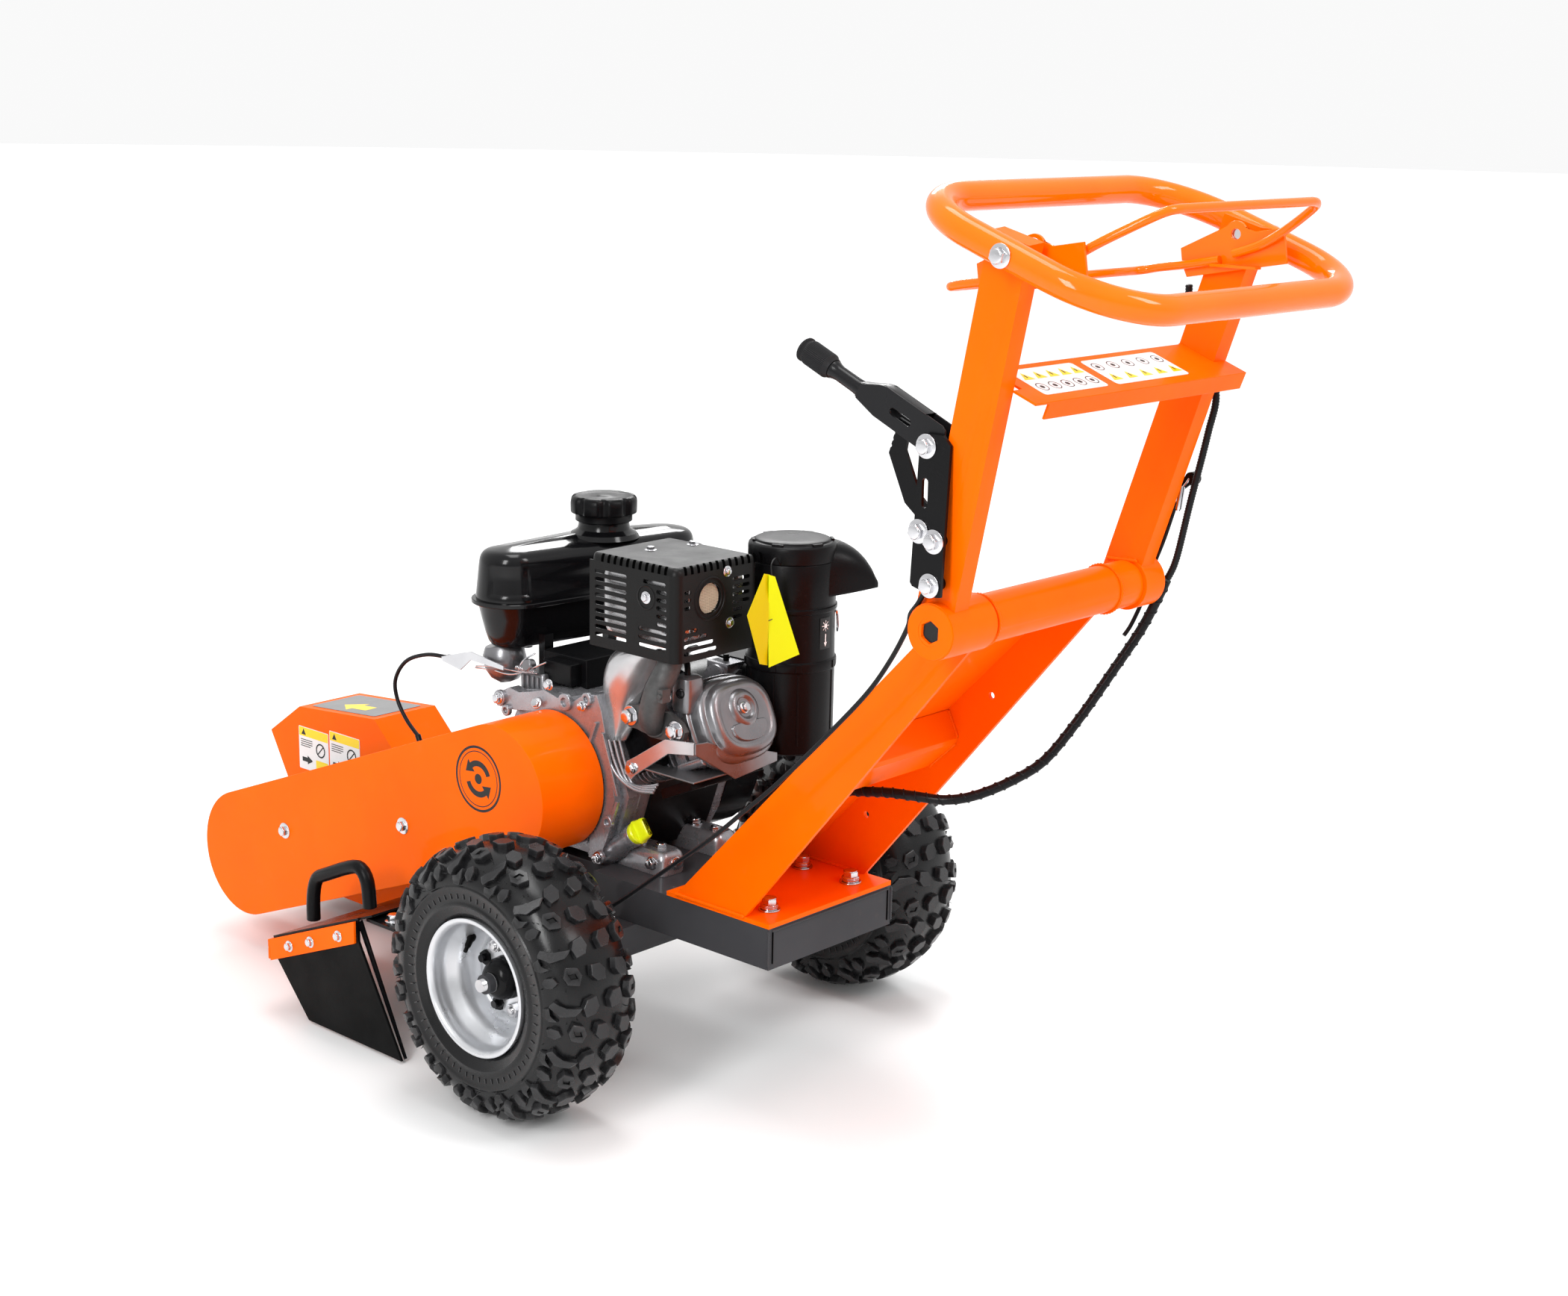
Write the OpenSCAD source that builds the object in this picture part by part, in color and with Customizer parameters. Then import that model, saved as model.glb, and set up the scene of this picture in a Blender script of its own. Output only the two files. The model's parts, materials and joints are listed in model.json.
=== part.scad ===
// Walk-behind stump grinder: a two-wheeled chassis with an engine, a belt-driven cutter in front
// and a folding handle behind.
// Frame: +X to the machine's right, +Y forward, +Z up. All side profiles are drawn in the Y-Z plane
// with Y = 0 at the axle and Z = 0 at the ground; place() then centres the whole machine on the origin.

/* [Chassis] */
// Width of the engine deck
deck_w = 236; // [216:2:256]
// Height of the deck's top face
deck_top = 254.5; // [250:0.5:260]
// Height of the side rails
rail_h = 54; // [46:1:60]
// Sheet thickness of the welded frame
sheet = 5; // [4:0.5:6]
// Distance from the axle back to the rear face
deck_rear = 253; // [240:1:270]

/* [Wheels] */
// Outer diameter of a tyre
tyre_od = 360; // [352:2:364]
// Section width of a tyre
tyre_w = 136; // [124:2:142]
// Half of the track, tyre centre to machine centre
half_track = 317; // [310:1:325]
// Radius of the rim's flange
rim_r = 88.5; // [84:0.5:92]
// Radius of the wheel spindle
spindle_r = 12.5; // [11:0.5:14]

/* [Cutter] */
// Distance from the axle forward to the cutter shaft
cutter_y = 715; // [700:1:725]
// Height of the cutter shaft
cutter_z = 143; // [141:1:148]
// Radius over the cutter teeth
tooth_r = 139; // [130:1:140]
// Radius of the cutter disc
disc_r = 108; // [100:1:114]
// Thickness of the cutter disc
disc_t = 20; // [14:1:24]
// Number of teeth
tooth_n = 9; // [6:1:12]
// Number of lightening holes in the disc
disc_holes = 6; // [4:1:8]
// Offset of the cutter's middle plane to the right
cutter_x = 30; // [26:1:34]

/* [Belt drive] */
// Distance from the axle forward to the crankshaft
crank_y = 150; // [145:1:155]
// Height of the crankshaft above the deck
crank_h = 105.5; // [104:0.5:108]
// Outer face of the belt cover, left of the middle
cover_x = 211; // [208:1:214]
// Depth of the belt cover
cover_d = 108; // [104:1:110]
// Outer radius of the belt cover's round ends
cover_r = 93; // [90:1:96]
// Radius of the clutch pulley's belt groove
clutch_r = 52; // [48:1:56]
// Radius of the driven pulley's belt groove
driven_r = 68; // [60:1:72]

/* [Debris guard] */
// Left face of the debris guard, left of the middle
guard_x = 325; // [320:1:330]
// Slope of the guard's top
guard_slope = 21.6; // [20:0.2:23]

/* [Engine] */
// Angle of the cylinder above level
cyl_tilt = 25; // [22:1:28]
// Distance from the crankshaft to the valve cover's face
head_reach = 280; // [270:1:285]
// Width of the cylinder's fins
fin_w = 112; // [104:1:118]
// Number of cylinder fins
fin_n = 7; // [5:1:9]
// Outer radius of the air-cleaner canister
canister_r = 59; // [54:1:60]
// Outer radius of the fuel cap
cap_r = 47; // [40:1:50]

/* [Handle] */
// Distance from the axle back to the handle's pivot
pivot_y = 558.5; // [550:0.5:565]
// Height of the handle's pivot
pivot_z = 699; // [690:1:708]
// Outer radius of the pivot sleeves
sleeve_r = 32; // [30:1:34]
// Outer radius of the pivot bolt
pivot_r = 15; // [12:1:18]
// Outer ends of the two pivot sleeves, from the middle
sleeve_x = 204; // [200:1:208]
// Width of an arm's box section
arm_w = 25; // [22:1:28]
// Depth of an arm's box section
arm_d = 51; // [46:1:54]
// Lean of the arms back from the vertical
arm_lean = 15; // [13:0.5:16]
// Splay of each arm out from the vertical
arm_splay = 5.6; // [4:0.2:6]
// Radius of the ring handlebar's tube
ring_tube = 16; // [14:0.5:18]
// Half width of the ring handlebar, tube centre to middle
ring_a = 242; // [230:1:248]
// Half length of the ring handlebar, tube centre to middle
ring_b = 144.5; // [136:0.5:150]
// Corner radius of the ring handlebar
ring_corner = 92; // [80:1:100]
// Slope of the ring handlebar, front end up
ring_slope = 19.8; // [16:0.2:23]

/* [Hidden] */
$fn = 48;

orange = "#ff6a00";
frame_grey = "#4a4a4c";
black = "#1b1b1d";
cast = "#a8aaad";
zinc = "#c9ccd0";
lime = "#d8f000";

axle_z = tyre_od / 2;
rail_z = deck_top - rail_h;
crank_z = deck_top + crank_h;
belt_run = cutter_y - crank_y;
belt_drop = crank_z - cutter_z;
belt_slope = atan2(belt_drop, belt_run);
belt_len = sqrt(belt_run * belt_run + belt_drop * belt_drop);
run_gap = 0.05;
free_gap = 0.4;

// Ring handlebar's middle and the bail's pivot.
ring_y = -672.8;
ring_z = 1111.3;
bail_y = -666;
bail_z = 1115.5;
housing_front = 892;
machine_rear = ring_y - ring_b * cos(ring_slope) - ring_tube;
mid_y = (housing_front + machine_rear) / 2;

// ---------- helpers ----------

// Moves the axle frame so that the whole machine is centred over the origin.
module place() {
    translate([0, -mid_y, 0]) children();
}

// Extrudes a Y-Z profile from x0 to x1.
module side(x0, x1) {
    translate([x0, 0, 0]) rotate([90, 0, 90]) linear_extrude(x1 - x0) children();
}

// A cylinder along X.
module rod_x(r, x0, x1, y, z) {
    translate([x0, y, z]) rotate([0, 90, 0]) cylinder(r = r, h = x1 - x0);
}

// A cylinder along Y.
module rod_y(r, y0, y1, x, z) {
    translate([x, y1, z]) rotate([90, 0, 0]) cylinder(r = r, h = y1 - y0);
}

// A cylinder along Z.
module rod_z(r, z0, z1, x, y) {
    translate([x, y, z0]) cylinder(r = r, h = z1 - z0);
}

// A box between two corners.
module block(a, b) {
    translate(a) cube([b[0] - a[0], b[1] - a[1], b[2] - a[2]]);
}

// A straight round bar between two points, with ball ends.
module bar(a, b, r) {
    d = b - a;
    len = norm(d);
    translate(a) rotate([0, acos(d[2] / len), atan2(d[1], d[0])]) cylinder(r = r, h = len);
    translate(a) sphere(r = r);
    translate(b) sphere(r = r);
}

// A flat outline with two round ends, along +X from the origin.
module slot_2d(len, r) {
    circle(r = r);
    translate([0, -r]) square([len, 2 * r]);
    translate([len, 0]) circle(r = r);
}

// A rectangle with round corners, from corner a to corner b.
module round_rect(a, b, r) {
    translate([a[0] + r, a[1]]) square([b[0] - a[0] - 2 * r, b[1] - a[1]]);
    translate([a[0], a[1] + r]) square([b[0] - a[0], b[1] - a[1] - 2 * r]);
    for (x = [a[0] + r, b[0] - r], y = [a[1] + r, b[1] - r])
        translate([x, y]) circle(r = r);
}

// A hex flange bolt: head above z = 0, shank below.
module hex_bolt(af, shank_r, shank) {
    cylinder(r = af * 0.68, h = 2);
    cylinder(r = af / sqrt(3), h = af * 0.62, $fn = 6);
    translate([0, 0, -shank]) cylinder(r = shank_r, h = shank + 1);
}

// Turns a +Z shape so that its +Z points along -X, +X or -Y.
module face_left() { rotate([0, -90, 0]) children(); }
module face_right() { rotate([0, 90, 0]) children(); }
module face_rear() { rotate([90, 0, 0]) children(); }

// The belt drive's outline about the crankshaft, sloping forward and down.
module belt_outline(r0, r1) {
    translate([crank_y, crank_z]) rotate(-belt_slope) hull() {
        circle(r = r0, $fn = 72);
        translate([belt_len, 0]) circle(r = r1, $fn = 72);
    }
}

// Moves to the cylinder's axis: +Z then points from the crankshaft to the head.
module on_cylinder() {
    translate([0, crank_y, crank_z]) rotate([90 - cyl_tilt, 0, 0]) children();
}

// Points of a smooth curve through the given points, n steps a span.
function spline_at(p, i, t) =
    let (a = p[max(i - 1, 0)], b = p[i], c = p[i + 1], d = p[min(i + 2, len(p) - 1)])
    0.5 * ((2 * b) + (c - a) * t + (2 * a - 5 * b + 4 * c - d) * t * t
        + (3 * b - a - 3 * c + d) * t * t * t);
function smooth(p, n) =
    concat([for (i = [0:len(p) - 2], k = [0:n - 1]) spline_at(p, i, k / n)], [p[len(p) - 1]]);

// A round tube swept along a path with one fixed reference direction.
module sweep(path, r, sides, ref) {
    n = len(path);
    rings = [for (i = [0:n - 1])
        let (d = path[min(i + 1, n - 1)] - path[max(i - 1, 0)],
             t = d / norm(d),
             u0 = cross(ref, t),
             u = u0 / norm(u0),
             v = cross(t, u))
        for (k = [0:sides - 1])
            path[i] + r * cos(360 * k / sides) * u + r * sin(360 * k / sides) * v];
    walls = [for (i = [0:n - 2], k = [0:sides - 1])
        let (a = i * sides + k, b = i * sides + (k + 1) % sides)
        [a, a + sides, b + sides, b]];
    ends = [[for (k = [0:sides - 1]) k], [for (k = [sides - 1:-1:0]) (n - 1) * sides + k]];
    polyhedron(points = rings, faces = concat(walls, ends), convexity = 6);
}

// ---------- chassis ----------

front_rail_l = 95;
rail_front = 548;
deck_front = 300;

module chassis() color(frame_grey) place() difference() {
    union() {
        // Rear tray: skirts, rear plate and deck.
        for (s = [-1, 1])
            block([s * deck_w / 2 - (s > 0 ? sheet : 0), -deck_rear, rail_z],
                  [s * deck_w / 2 + (s > 0 ? 0 : sheet), 60, deck_top]);
        block([-deck_w / 2, -deck_rear, rail_z], [deck_w / 2, -deck_rear + sheet, deck_top]);
        block([-deck_w / 2, -deck_rear, deck_top - sheet], [deck_w / 2, 60, deck_top]);
        // Front rails and the engine deck.
        block([-front_rail_l, -deck_rear, rail_z], [-front_rail_l + 40, rail_front, deck_top]);
        block([deck_w / 2 - 40, -deck_rear, rail_z], [deck_w / 2, rail_front, deck_top]);
        block([-front_rail_l, 60, deck_top - sheet], [deck_w / 2, deck_front, deck_top]);
        // Cross members between the rails.
        for (y = [-30, 300, 470])
            block([-front_rail_l + 30, y, rail_z], [deck_w / 2 - 30, y + 40, rail_z + 34]);
        // Front mounting tongue for the cutter housing.
        block([-28, rail_front - 40, rail_z], [deck_w / 2, rail_front, rail_z + 50]);
    }
    // Hollow rails, open at the rear end only inside the rear plate.
    for (x = [-front_rail_l + 4, deck_w / 2 - 36])
        block([x, -deck_rear + sheet, rail_z + 4], [x + 32, rail_front - 50, deck_top - sheet - 1]);
    // Holes for the engine and the handle column.
    for (x = engine_hole_x, y = engine_hole_y) rod_z(5.2, deck_top - 20, deck_top + 1, x, y);
    for (p = base_bolts) rod_z(5.5, deck_top - 20, deck_top + 1, p[0], p[1]);
}

engine_hole_x = [-52.5, 52.5];
engine_hole_y = [40, 202];

module axle() color(frame_grey) place() {
    difference() {
        block([-228, -20, axle_z - 20], [228, 20, rail_z - 0.02]);
        block([-216, -15, axle_z - 15], [216, 15, axle_z + 15]);
    }
    for (s = [-1, 1]) {
        rod_x(spindle_r, s > 0 ? 206 : -362, s > 0 ? 362 : -206, 0, axle_z);
        rod_x(21, s > 0 ? 216 : -272.4, s > 0 ? 272.4 : -216, 0, axle_z);
    }
}

// ---------- handle column ----------

col_x = 118;
col_sheet = 6;
base_top = deck_top + 6;
web_low = [-92, base_top];
web_high = [-470, 655];

module column() color(orange) place() {
    // Base plate.
    difference() {
        block([-col_x, -deck_rear, deck_top], [col_x, -75, base_top]);
        for (p = base_bolts) rod_z(5.5, deck_top - 1, base_top + 1, p[0], p[1]);
    }
    // Side plates.
    difference() {
        for (s = [-1, 1])
            side(s > 0 ? col_x - col_sheet : -col_x, s > 0 ? col_x : -col_x + col_sheet)
                polygon([web_low, [-212, base_top], [-552, 668], [-586, 692], [-574, 720], [-532, 716],
                         [-505, 690], web_high]);
        rod_x(28, -col_x - 1, col_x + 1, -pivot_y, pivot_z);
        for (p = side_holes) rod_x(4.5, 0, col_x + 1, p[0], p[1]);
    }
    // Web along the front edge.
    side(-col_x + col_sheet, col_x - col_sheet)
        polygon([web_low, web_low + [-8, 0], [-478, 652], [-533, 680], [-528, 687], web_high]);
    // Pivot tube.
    difference() {
        rod_x(28, -127.6, 164.6, -pivot_y, pivot_z);
        rod_x(pivot_r + run_gap, -129, 166, -pivot_y, pivot_z);
    }
    // Louvre ribs pressed along the top of the web.
    for (i = [0:4])
        translate([i * 26 - 20, -482 - i * 1.5, 656])
            rotate([47, 0, 0]) cube([14, 26, 2.5], center = true);
}

base_bolts = [[-76, -215], [76, -219], [76, -135], [-76, -135]];
side_holes = [[-408, 541], [-213, 343]];

module column_brace() color(orange) place() {
    side(-col_x + col_sheet + 0.02, col_x - col_sheet - 0.02)
        polygon([[-342.4, 511], [-359, 477], [-357, 470], [-315, 431], [-264, 428], [-268, 433], [-313, 436],
                 [-351.5, 471], [-353.5, 476], [-338.6, 507]]);
}

// ---------- cutter housing ----------

housing_l = -28;
housing_r = 89;
housing_sheet = 5;

module housing_profile(low) {
    polygon([[552, low], [552, 258], [632, 330], [817, 314], [892, 262], [851, 192], [842, low + 40],
             [800, low]]);
}

module cutter_housing() color(orange) place() difference() {
    union() {
        difference() {
            side(housing_l, housing_r) housing_profile(27);
            side(housing_l + housing_sheet, housing_r - housing_sheet) translate([0, -housing_sheet])
                polygon([[557, 0], [557, 256], [634, 330], [815, 314], [884, 266], [846, 192], [846, 0]]);
            block([housing_l + housing_sheet, 700, -1], [housing_r - housing_sheet, 900, 190]);
        }
        // Skid on the right side plate.
        side(housing_r - housing_sheet, housing_r)
            polygon([[600, 28], [620, 0], [790, 0], [812, 28]]);
        block([housing_r - housing_sheet, 620, 0], [housing_r + 34, 790, 6]);
        // Rear flange to the chassis tongue.
        block([housing_l, 548.02, 200], [housing_r, 556, 250]);
    }
    rod_x(26, housing_l - 1, housing_r + 1, cutter_y, cutter_z);
    for (x = [0, 60]) rod_y(5.5, 540, 560, x, 225);
}

module cutter_bearings() color(cast) place() {
    for (s = [0, 1]) {
        x0 = s == 0 ? housing_l - 22 : housing_r + 0.02;
        difference() {
            union() {
                rod_x(38, x0, x0 + 21.98, cutter_y, cutter_z);
                side(x0 + (s == 0 ? 10 : 0), x0 + (s == 0 ? 21.98 : 12))
                    translate([cutter_y, cutter_z]) difference() {
                        square([100, 100], center = true);
                        for (a = [-1, 1], b = [-1, 1]) translate([a * 39, b * 39]) circle(r = 5.5);
                    }
            }
            rod_x(17.5 + run_gap, x0 - 1, x0 + 23, cutter_y, cutter_z);
        }
    }
}

// ---------- belt drive ----------

cover_sheet = 3;

module belt_cover() color(orange) place() difference() {
    side(-cover_x, -cover_x + cover_d) belt_outline(cover_r, cover_r);
    side(-cover_x + cover_sheet, -cover_x + cover_d + 1)
        belt_outline(cover_r - cover_sheet, cover_r - cover_sheet);
    for (p = cover_bolts) rod_x(5.5, -cover_x - 1, -cover_x + 5, p[0], p[1]);
}

cover_bolts = [[610, 203], [340, 273]];

module belt_backplate() color(black) place() difference() {
    union() {
        side(-cover_x + cover_d - 4, -cover_x + cover_d - 0.5)
            belt_outline(cover_r - cover_sheet - 0.5, cover_r - cover_sheet - 0.5);
        // Spacers for the cover bolts.
        for (p = cover_bolts) rod_x(8, -cover_x + cover_sheet + 0.02, -cover_x + cover_d - 2, p[0], p[1]);
        // Stand-offs to the chassis and the cutter housing.
        block([-cover_x + cover_d - 0.5, 380, 205], [-front_rail_l - 0.02, 470, 245]);
        block([-cover_x + cover_d - 0.5, 640, 195], [housing_l - 0.02, 690, 225]);
    }
    rod_x(34, -120, -90, crank_y, crank_z);
    rod_x(41, -120, -90, cutter_y, cutter_z);
    for (p = cover_bolts) rod_x(4.2, -cover_x, -cover_x + 40, p[0], p[1]);
}

belt_x = -150;
belt_w = 17;

module drive_belt() color(black) place() side(belt_x - belt_w / 2, belt_x + belt_w / 2) difference() {
    belt_outline(clutch_r + free_gap + 10, driven_r + free_gap + 10);
    belt_outline(clutch_r + free_gap, driven_r + free_gap);
}

// A two-flanged pulley about the X axis through (y, z).
module pulley(r, bore, x0, x1, y, z) {
    difference() {
        union() {
            rod_x(r, x0, x1, y, z);
            rod_x(r + 12, x0, belt_x - belt_w / 2 - 0.6, y, z);
            rod_x(r + 12, belt_x + belt_w / 2 + 0.6, x1, y, z);
        }
        rod_x(bore, x0 - 1, x1 + 1, y, z);
        for (i = [0:5])
            rotate_about_x(60 * i, y, z) rod_x(r * 0.16, x0 - 1, x1 + 1, y, z + r * 0.66);
    }
}

module rotate_about_x(a, y, z) {
    translate([0, y, z]) rotate([a, 0, 0]) translate([0, -y, -z]) children();
}

module clutch_pulley() color(zinc) place() {
    pulley(clutch_r, 12.7, -166, -132, crank_y, crank_z);
    // Clutch drum with its shoes inside.
    difference() {
        rod_x(60, -131.9, -112, crank_y, crank_z);
        rod_x(54, -128, -111, crank_y, crank_z);
        rod_x(12.7, -133, -111, crank_y, crank_z);
    }
}

module cutter_pulley() color(zinc) place()
    pulley(driven_r, 17.5, -164, -134, cutter_y, cutter_z);

module crankshaft() color(zinc) place() {
    rod_x(12.7, -186, -88, crank_y, crank_z);
    rod_x(17.5, -87.9, -30, crank_y, crank_z);
    // Crank webs with the crank pin between them.
    for (x = [-30, 14]) side(x, x + 16) translate([crank_y, crank_z]) {
        circle(r = 26);
        rotate(155) translate([0, -22]) square([52, 44]);
    }
    rotate_about_x(-25, crank_y, crank_z) rod_x(14, -14, 14, crank_y - 33, crank_z);
    rod_x(17.5, 30, 98, crank_y, crank_z);
    rod_x(11, 98, 148, crank_y, crank_z);
}

module flywheel() color(cast) place() difference() {
    union() {
        rod_x(92, 116, 130, crank_y, crank_z);
        for (i = [0:15]) rotate_about_x(22.5 * i, crank_y, crank_z)
            block([129, crank_y + 40, crank_z - 2], [144, crank_y + 90, crank_z + 2]);
    }
    rod_x(11, 115, 145, crank_y, crank_z);
}

module cutter_shaft() color(zinc) place() {
    rod_x(17.5, -176, 116, cutter_y, cutter_z);
    rod_x(24, -176, -165, cutter_y, cutter_z);
    rod_x(24, cutter_x + disc_t / 2 + 0.02, housing_r - housing_sheet - 4, cutter_y, cutter_z);
}

module cutter_disc() color(frame_grey) place() difference() {
    rod_x(disc_r, cutter_x - disc_t / 2, cutter_x + disc_t / 2, cutter_y, cutter_z);
    rod_x(17.52, cutter_x - disc_t, cutter_x + disc_t, cutter_y, cutter_z);
    for (i = [0:disc_holes - 1])
        rotate_about_x(360 / disc_holes * i, cutter_y, cutter_z)
            rod_x(13, cutter_x - disc_t, cutter_x + disc_t, cutter_y, cutter_z + disc_r * 0.6);
}

module cutter_teeth() color(zinc) place() for (i = [0:tooth_n - 1])
    rotate_about_x(360 / tooth_n * i + 8, cutter_y, cutter_z) {
        s = i % 2 == 0 ? 1 : -1;
        x_in = cutter_x + s * (disc_t / 2 + 0.02);
        x_out = cutter_x + s * (disc_t / 2 + 14);
        x_tip = cutter_x + s * (disc_t / 2 + 28);
        // Bolted pocket, shank and carbide tip.
        block([min(x_in, x_out), cutter_y - 13, cutter_z + 66],
              [max(x_in, x_out), cutter_y + 13, cutter_z + 118]);
        block([min(x_in, x_tip), cutter_y - 10, cutter_z + 112],
              [max(x_in, x_tip), cutter_y + 8, cutter_z + 128]);
        block([x_tip - 9, cutter_y - 6, cutter_z + 118], [x_tip + 9, cutter_y + 10, cutter_z + tooth_r - 1]);
    }

// ---------- debris guard ----------

guard_front = [486, 102];
guard_back = [296, 177.2];
guard_end = [270, 187.5];

module debris_guard() color(black) place() {
    // Top sheet under the belt cover.
    side(-guard_x + 3, -36)
        polygon([guard_front, guard_front + [0.8, 2.8], guard_end + [0.8, 2.8], guard_end]);
    // Left lip that carries the flap.
    side(-guard_x, -guard_x + 3)
        polygon([guard_front, guard_front + [0, -30], guard_back + [0, -30], guard_back, guard_back + [1, 3],
                 guard_front + [1, 3]]);
    // Rear sheet in front of the tyre and its bracket back to the rail.
    side(-guard_x + 3, -guard_x + 6)
        polygon([guard_back + [-2, 0], [206, 6], [209, 4], guard_back + [4, -8]]);
    block([-guard_x + 6, 228, 177], [-front_rail_l - 26, 286, 181.5]);
    block([-front_rail_l - 30, 228, 177], [-front_rail_l - 26, 288, 200]);
    block([-front_rail_l - 30, 228, 196], [-front_rail_l + 20, 288, rail_z - 0.02]);
}

module debris_flap() color(black) place() side(-guard_x - 4, -guard_x - 0.02)
    polygon([[484, 99], [474, 76], [406, 4], [206, 4], [292, 150], [297, 172]]);

module flap_clamp() color(orange) place() {
    side(-guard_x - 7.5, -guard_x - 4.02) difference() {
        polygon([guard_front, guard_front + [-1, -31], guard_back + [0, -31], guard_back]);
        for (p = clamp_bolts) translate(p) circle(r = 3.6);
    }
    // Bent front end round the guard's corner.
    block([-guard_x - 7.5, 486, 73], [-guard_x + 16, 489.5, 101]);
}

clamp_bolts = [[440, 104], [392, 123], [330, 148]];

grip_path = [[412, 144.4], [411, 180], [402, 206], [380, 218], [330, 240], [306, 244], [292, 228], [288, 193.4]];

module guard_handle() color(black) place()
    sweep(smooth([for (p = grip_path) [-guard_x + 14, p[0], p[1]]], 3), 9.5, 12, [1, 0, 0]);

// ---------- wheels ----------

// Turns a profile of (radius, x) about the X axis through the wheel's centre.
module wheel_turn(s) {
    place() translate([s * half_track, 0, axle_z]) rotate([0, s * 90, 0]) rotate_extrude($fn = 96) children();
}

module tyre(s) color(black) wheel_turn(s)
    polygon([[rim_r + 0.02, -54], [rim_r + 16, -60], [128, -tyre_w / 2], [150, -tyre_w / 2 + 1], [166, -60],
             [174, -50], [tyre_od / 2, -30], [tyre_od / 2, 30], [174, 50], [166, 60], [150, tyre_w / 2 - 1],
             [128, tyre_w / 2], [rim_r + 16, 60], [rim_r + 0.02, 54], [rim_r + 4, 50], [rim_r + 8, 30],
             [rim_r + 8, -30], [rim_r + 4, -50]]);

// Rim: two flanges, a stepped well and a dished disc with four stud holes.
rim_out = 62;
stud_pcd = 84;

module rim(s) color(zinc) difference() {
    wheel_turn(s) union() {
        polygon([[rim_r - 8, -56], [rim_r, -rim_out], [rim_r, -54.1], [rim_r - 3, -50], [rim_r - 4, -34],
                 [rim_r - 16, -30], [rim_r - 20, -6], [rim_r - 18, 14], [rim_r - 6, 30], [rim_r - 4, 48],
                 [rim_r, 54.1], [rim_r, rim_out], [rim_r - 2, rim_out], [rim_r - 8, 56], [rim_r - 9, 32],
                 [rim_r - 22, 14], [rim_r - 24, 0], [rim_r - 24, -8], [rim_r - 19, -32], [rim_r - 9, -36]]);
        polygon([[20.02, 2], [54, 2], [60, -2], [rim_r - 21, -2], [rim_r - 21, -6], [58, -6], [53, -2],
                 [20.02, -2]]);
    }
    place() for (i = [0:3]) rotate_about_x(90 * i + 22, 0, axle_z)
        rod_x(5.1, s * half_track - 20, s * half_track + 20, 0, axle_z + stud_pcd / 2);
}

// Hub with its bearing bore, flange, studs with nuts, and the valve stem in the rim's well.
module hub(s) color(black) place() {
    a = s * half_track;
    difference() {
        union() {
            rod_x(20, min(a - s * 44, a + s * 26), max(a - s * 44, a + s * 26), 0, axle_z);
            rod_x(27, min(a + s * 2.02, a + s * 18), max(a + s * 2.02, a + s * 18), 0, axle_z);
            rod_x(50, min(a - s * 8, a - s * 2.02), max(a - s * 8, a - s * 2.02), 0, axle_z);
            if (s < 0) rod_x(50, a + 8, a + 42, 0, axle_z);
        }
        rod_x(spindle_r + run_gap, a - 60, a + 60, 0, axle_z);
        if (s < 0) rod_x(44, a + 14, a + 43, 0, axle_z);
    }
    if (s < 0) difference() {
        rod_x(20, a + 10, a + 44, 0, axle_z);
        rod_x(spindle_r + run_gap, a - 60, a + 60, 0, axle_z);
    }
    for (i = [0:3]) rotate_about_x(90 * i + 22, 0, axle_z) {
        rod_x(5, min(a - s * 8, a + s * 16), max(a - s * 8, a + s * 16), 0, axle_z + stud_pcd / 2);
        translate([a + s * 2.02 + (s < 0 ? -8 : 0), 0, axle_z + stud_pcd / 2])
            rotate([0, 90, 0]) cylinder(r = 9.8, h = 8, $fn = 6);
    }
}

module left_tyre() tyre(-1);
module left_rim() rim(-1);
module left_hub() hub(-1);
module right_tyre() tyre(1);
module right_rim() rim(1);
module right_hub() hub(1);

// Backing plate of the left wheel's drum brake, with its shoes and the cable anchor.
module brake_plate() color(black) place() {
    a = -half_track;
    difference() {
        union() {
            rod_x(58, a + 45, a + 49, 0, axle_z);
            for (t = [0, 180]) rotate_about_x(t, 0, axle_z)
                block([a + 18, -16, axle_z + 26], [a + 45.02, 16, axle_z + 38]);
            block([a + 45, -14, axle_z + 40], [a + 66, 14, axle_z + 62]);
        }
        rod_x(21.02, a + 10, a + 80, 0, axle_z);
    }
}

// ---------- engine ----------

case_l = -88;
case_r = 104;

module crankcase() color(cast) place() difference() {
    union() {
        side(case_l, case_r)
            polygon([[66, deck_top + 8], [240, deck_top + 8], [262, 300], [262, 400], [236, 446], [150, 458],
                     [72.2, 458.1], [24.8, 356.5], [44, 300]]);
        // Mounting feet.
        for (x = engine_hole_x, y = engine_hole_y)
            block([x - 20, y - 24, deck_top + 0.02], [x + 20, y + 24, deck_top + 16]);
        // Oil filler neck.
        translate([-78, 40, 292]) rotate([54, 0, 0]) translate([0, 0, -22]) cylinder(r = 14, h = 44);
    }
    // Crank chamber, bearing bores and cylinder mouth.
    rod_x(74, case_l + 12, case_r - 12, crank_y, crank_z);
    rod_x(17.5 + run_gap, case_l - 1, case_r + 1, crank_y, crank_z);
    on_cylinder() cylinder(r = 44, h = 150);
    for (x = engine_hole_x, y = engine_hole_y) {
        rod_z(4.6, deck_top - 1, deck_top + 30, x, y);
        rod_z(13, deck_top + 16, deck_top + 44, x, y);
    }
    translate([-78, 40, 292]) rotate([54, 0, 0]) translate([0, 0, -2]) cylinder(r = 9, h = 25);
}

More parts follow.
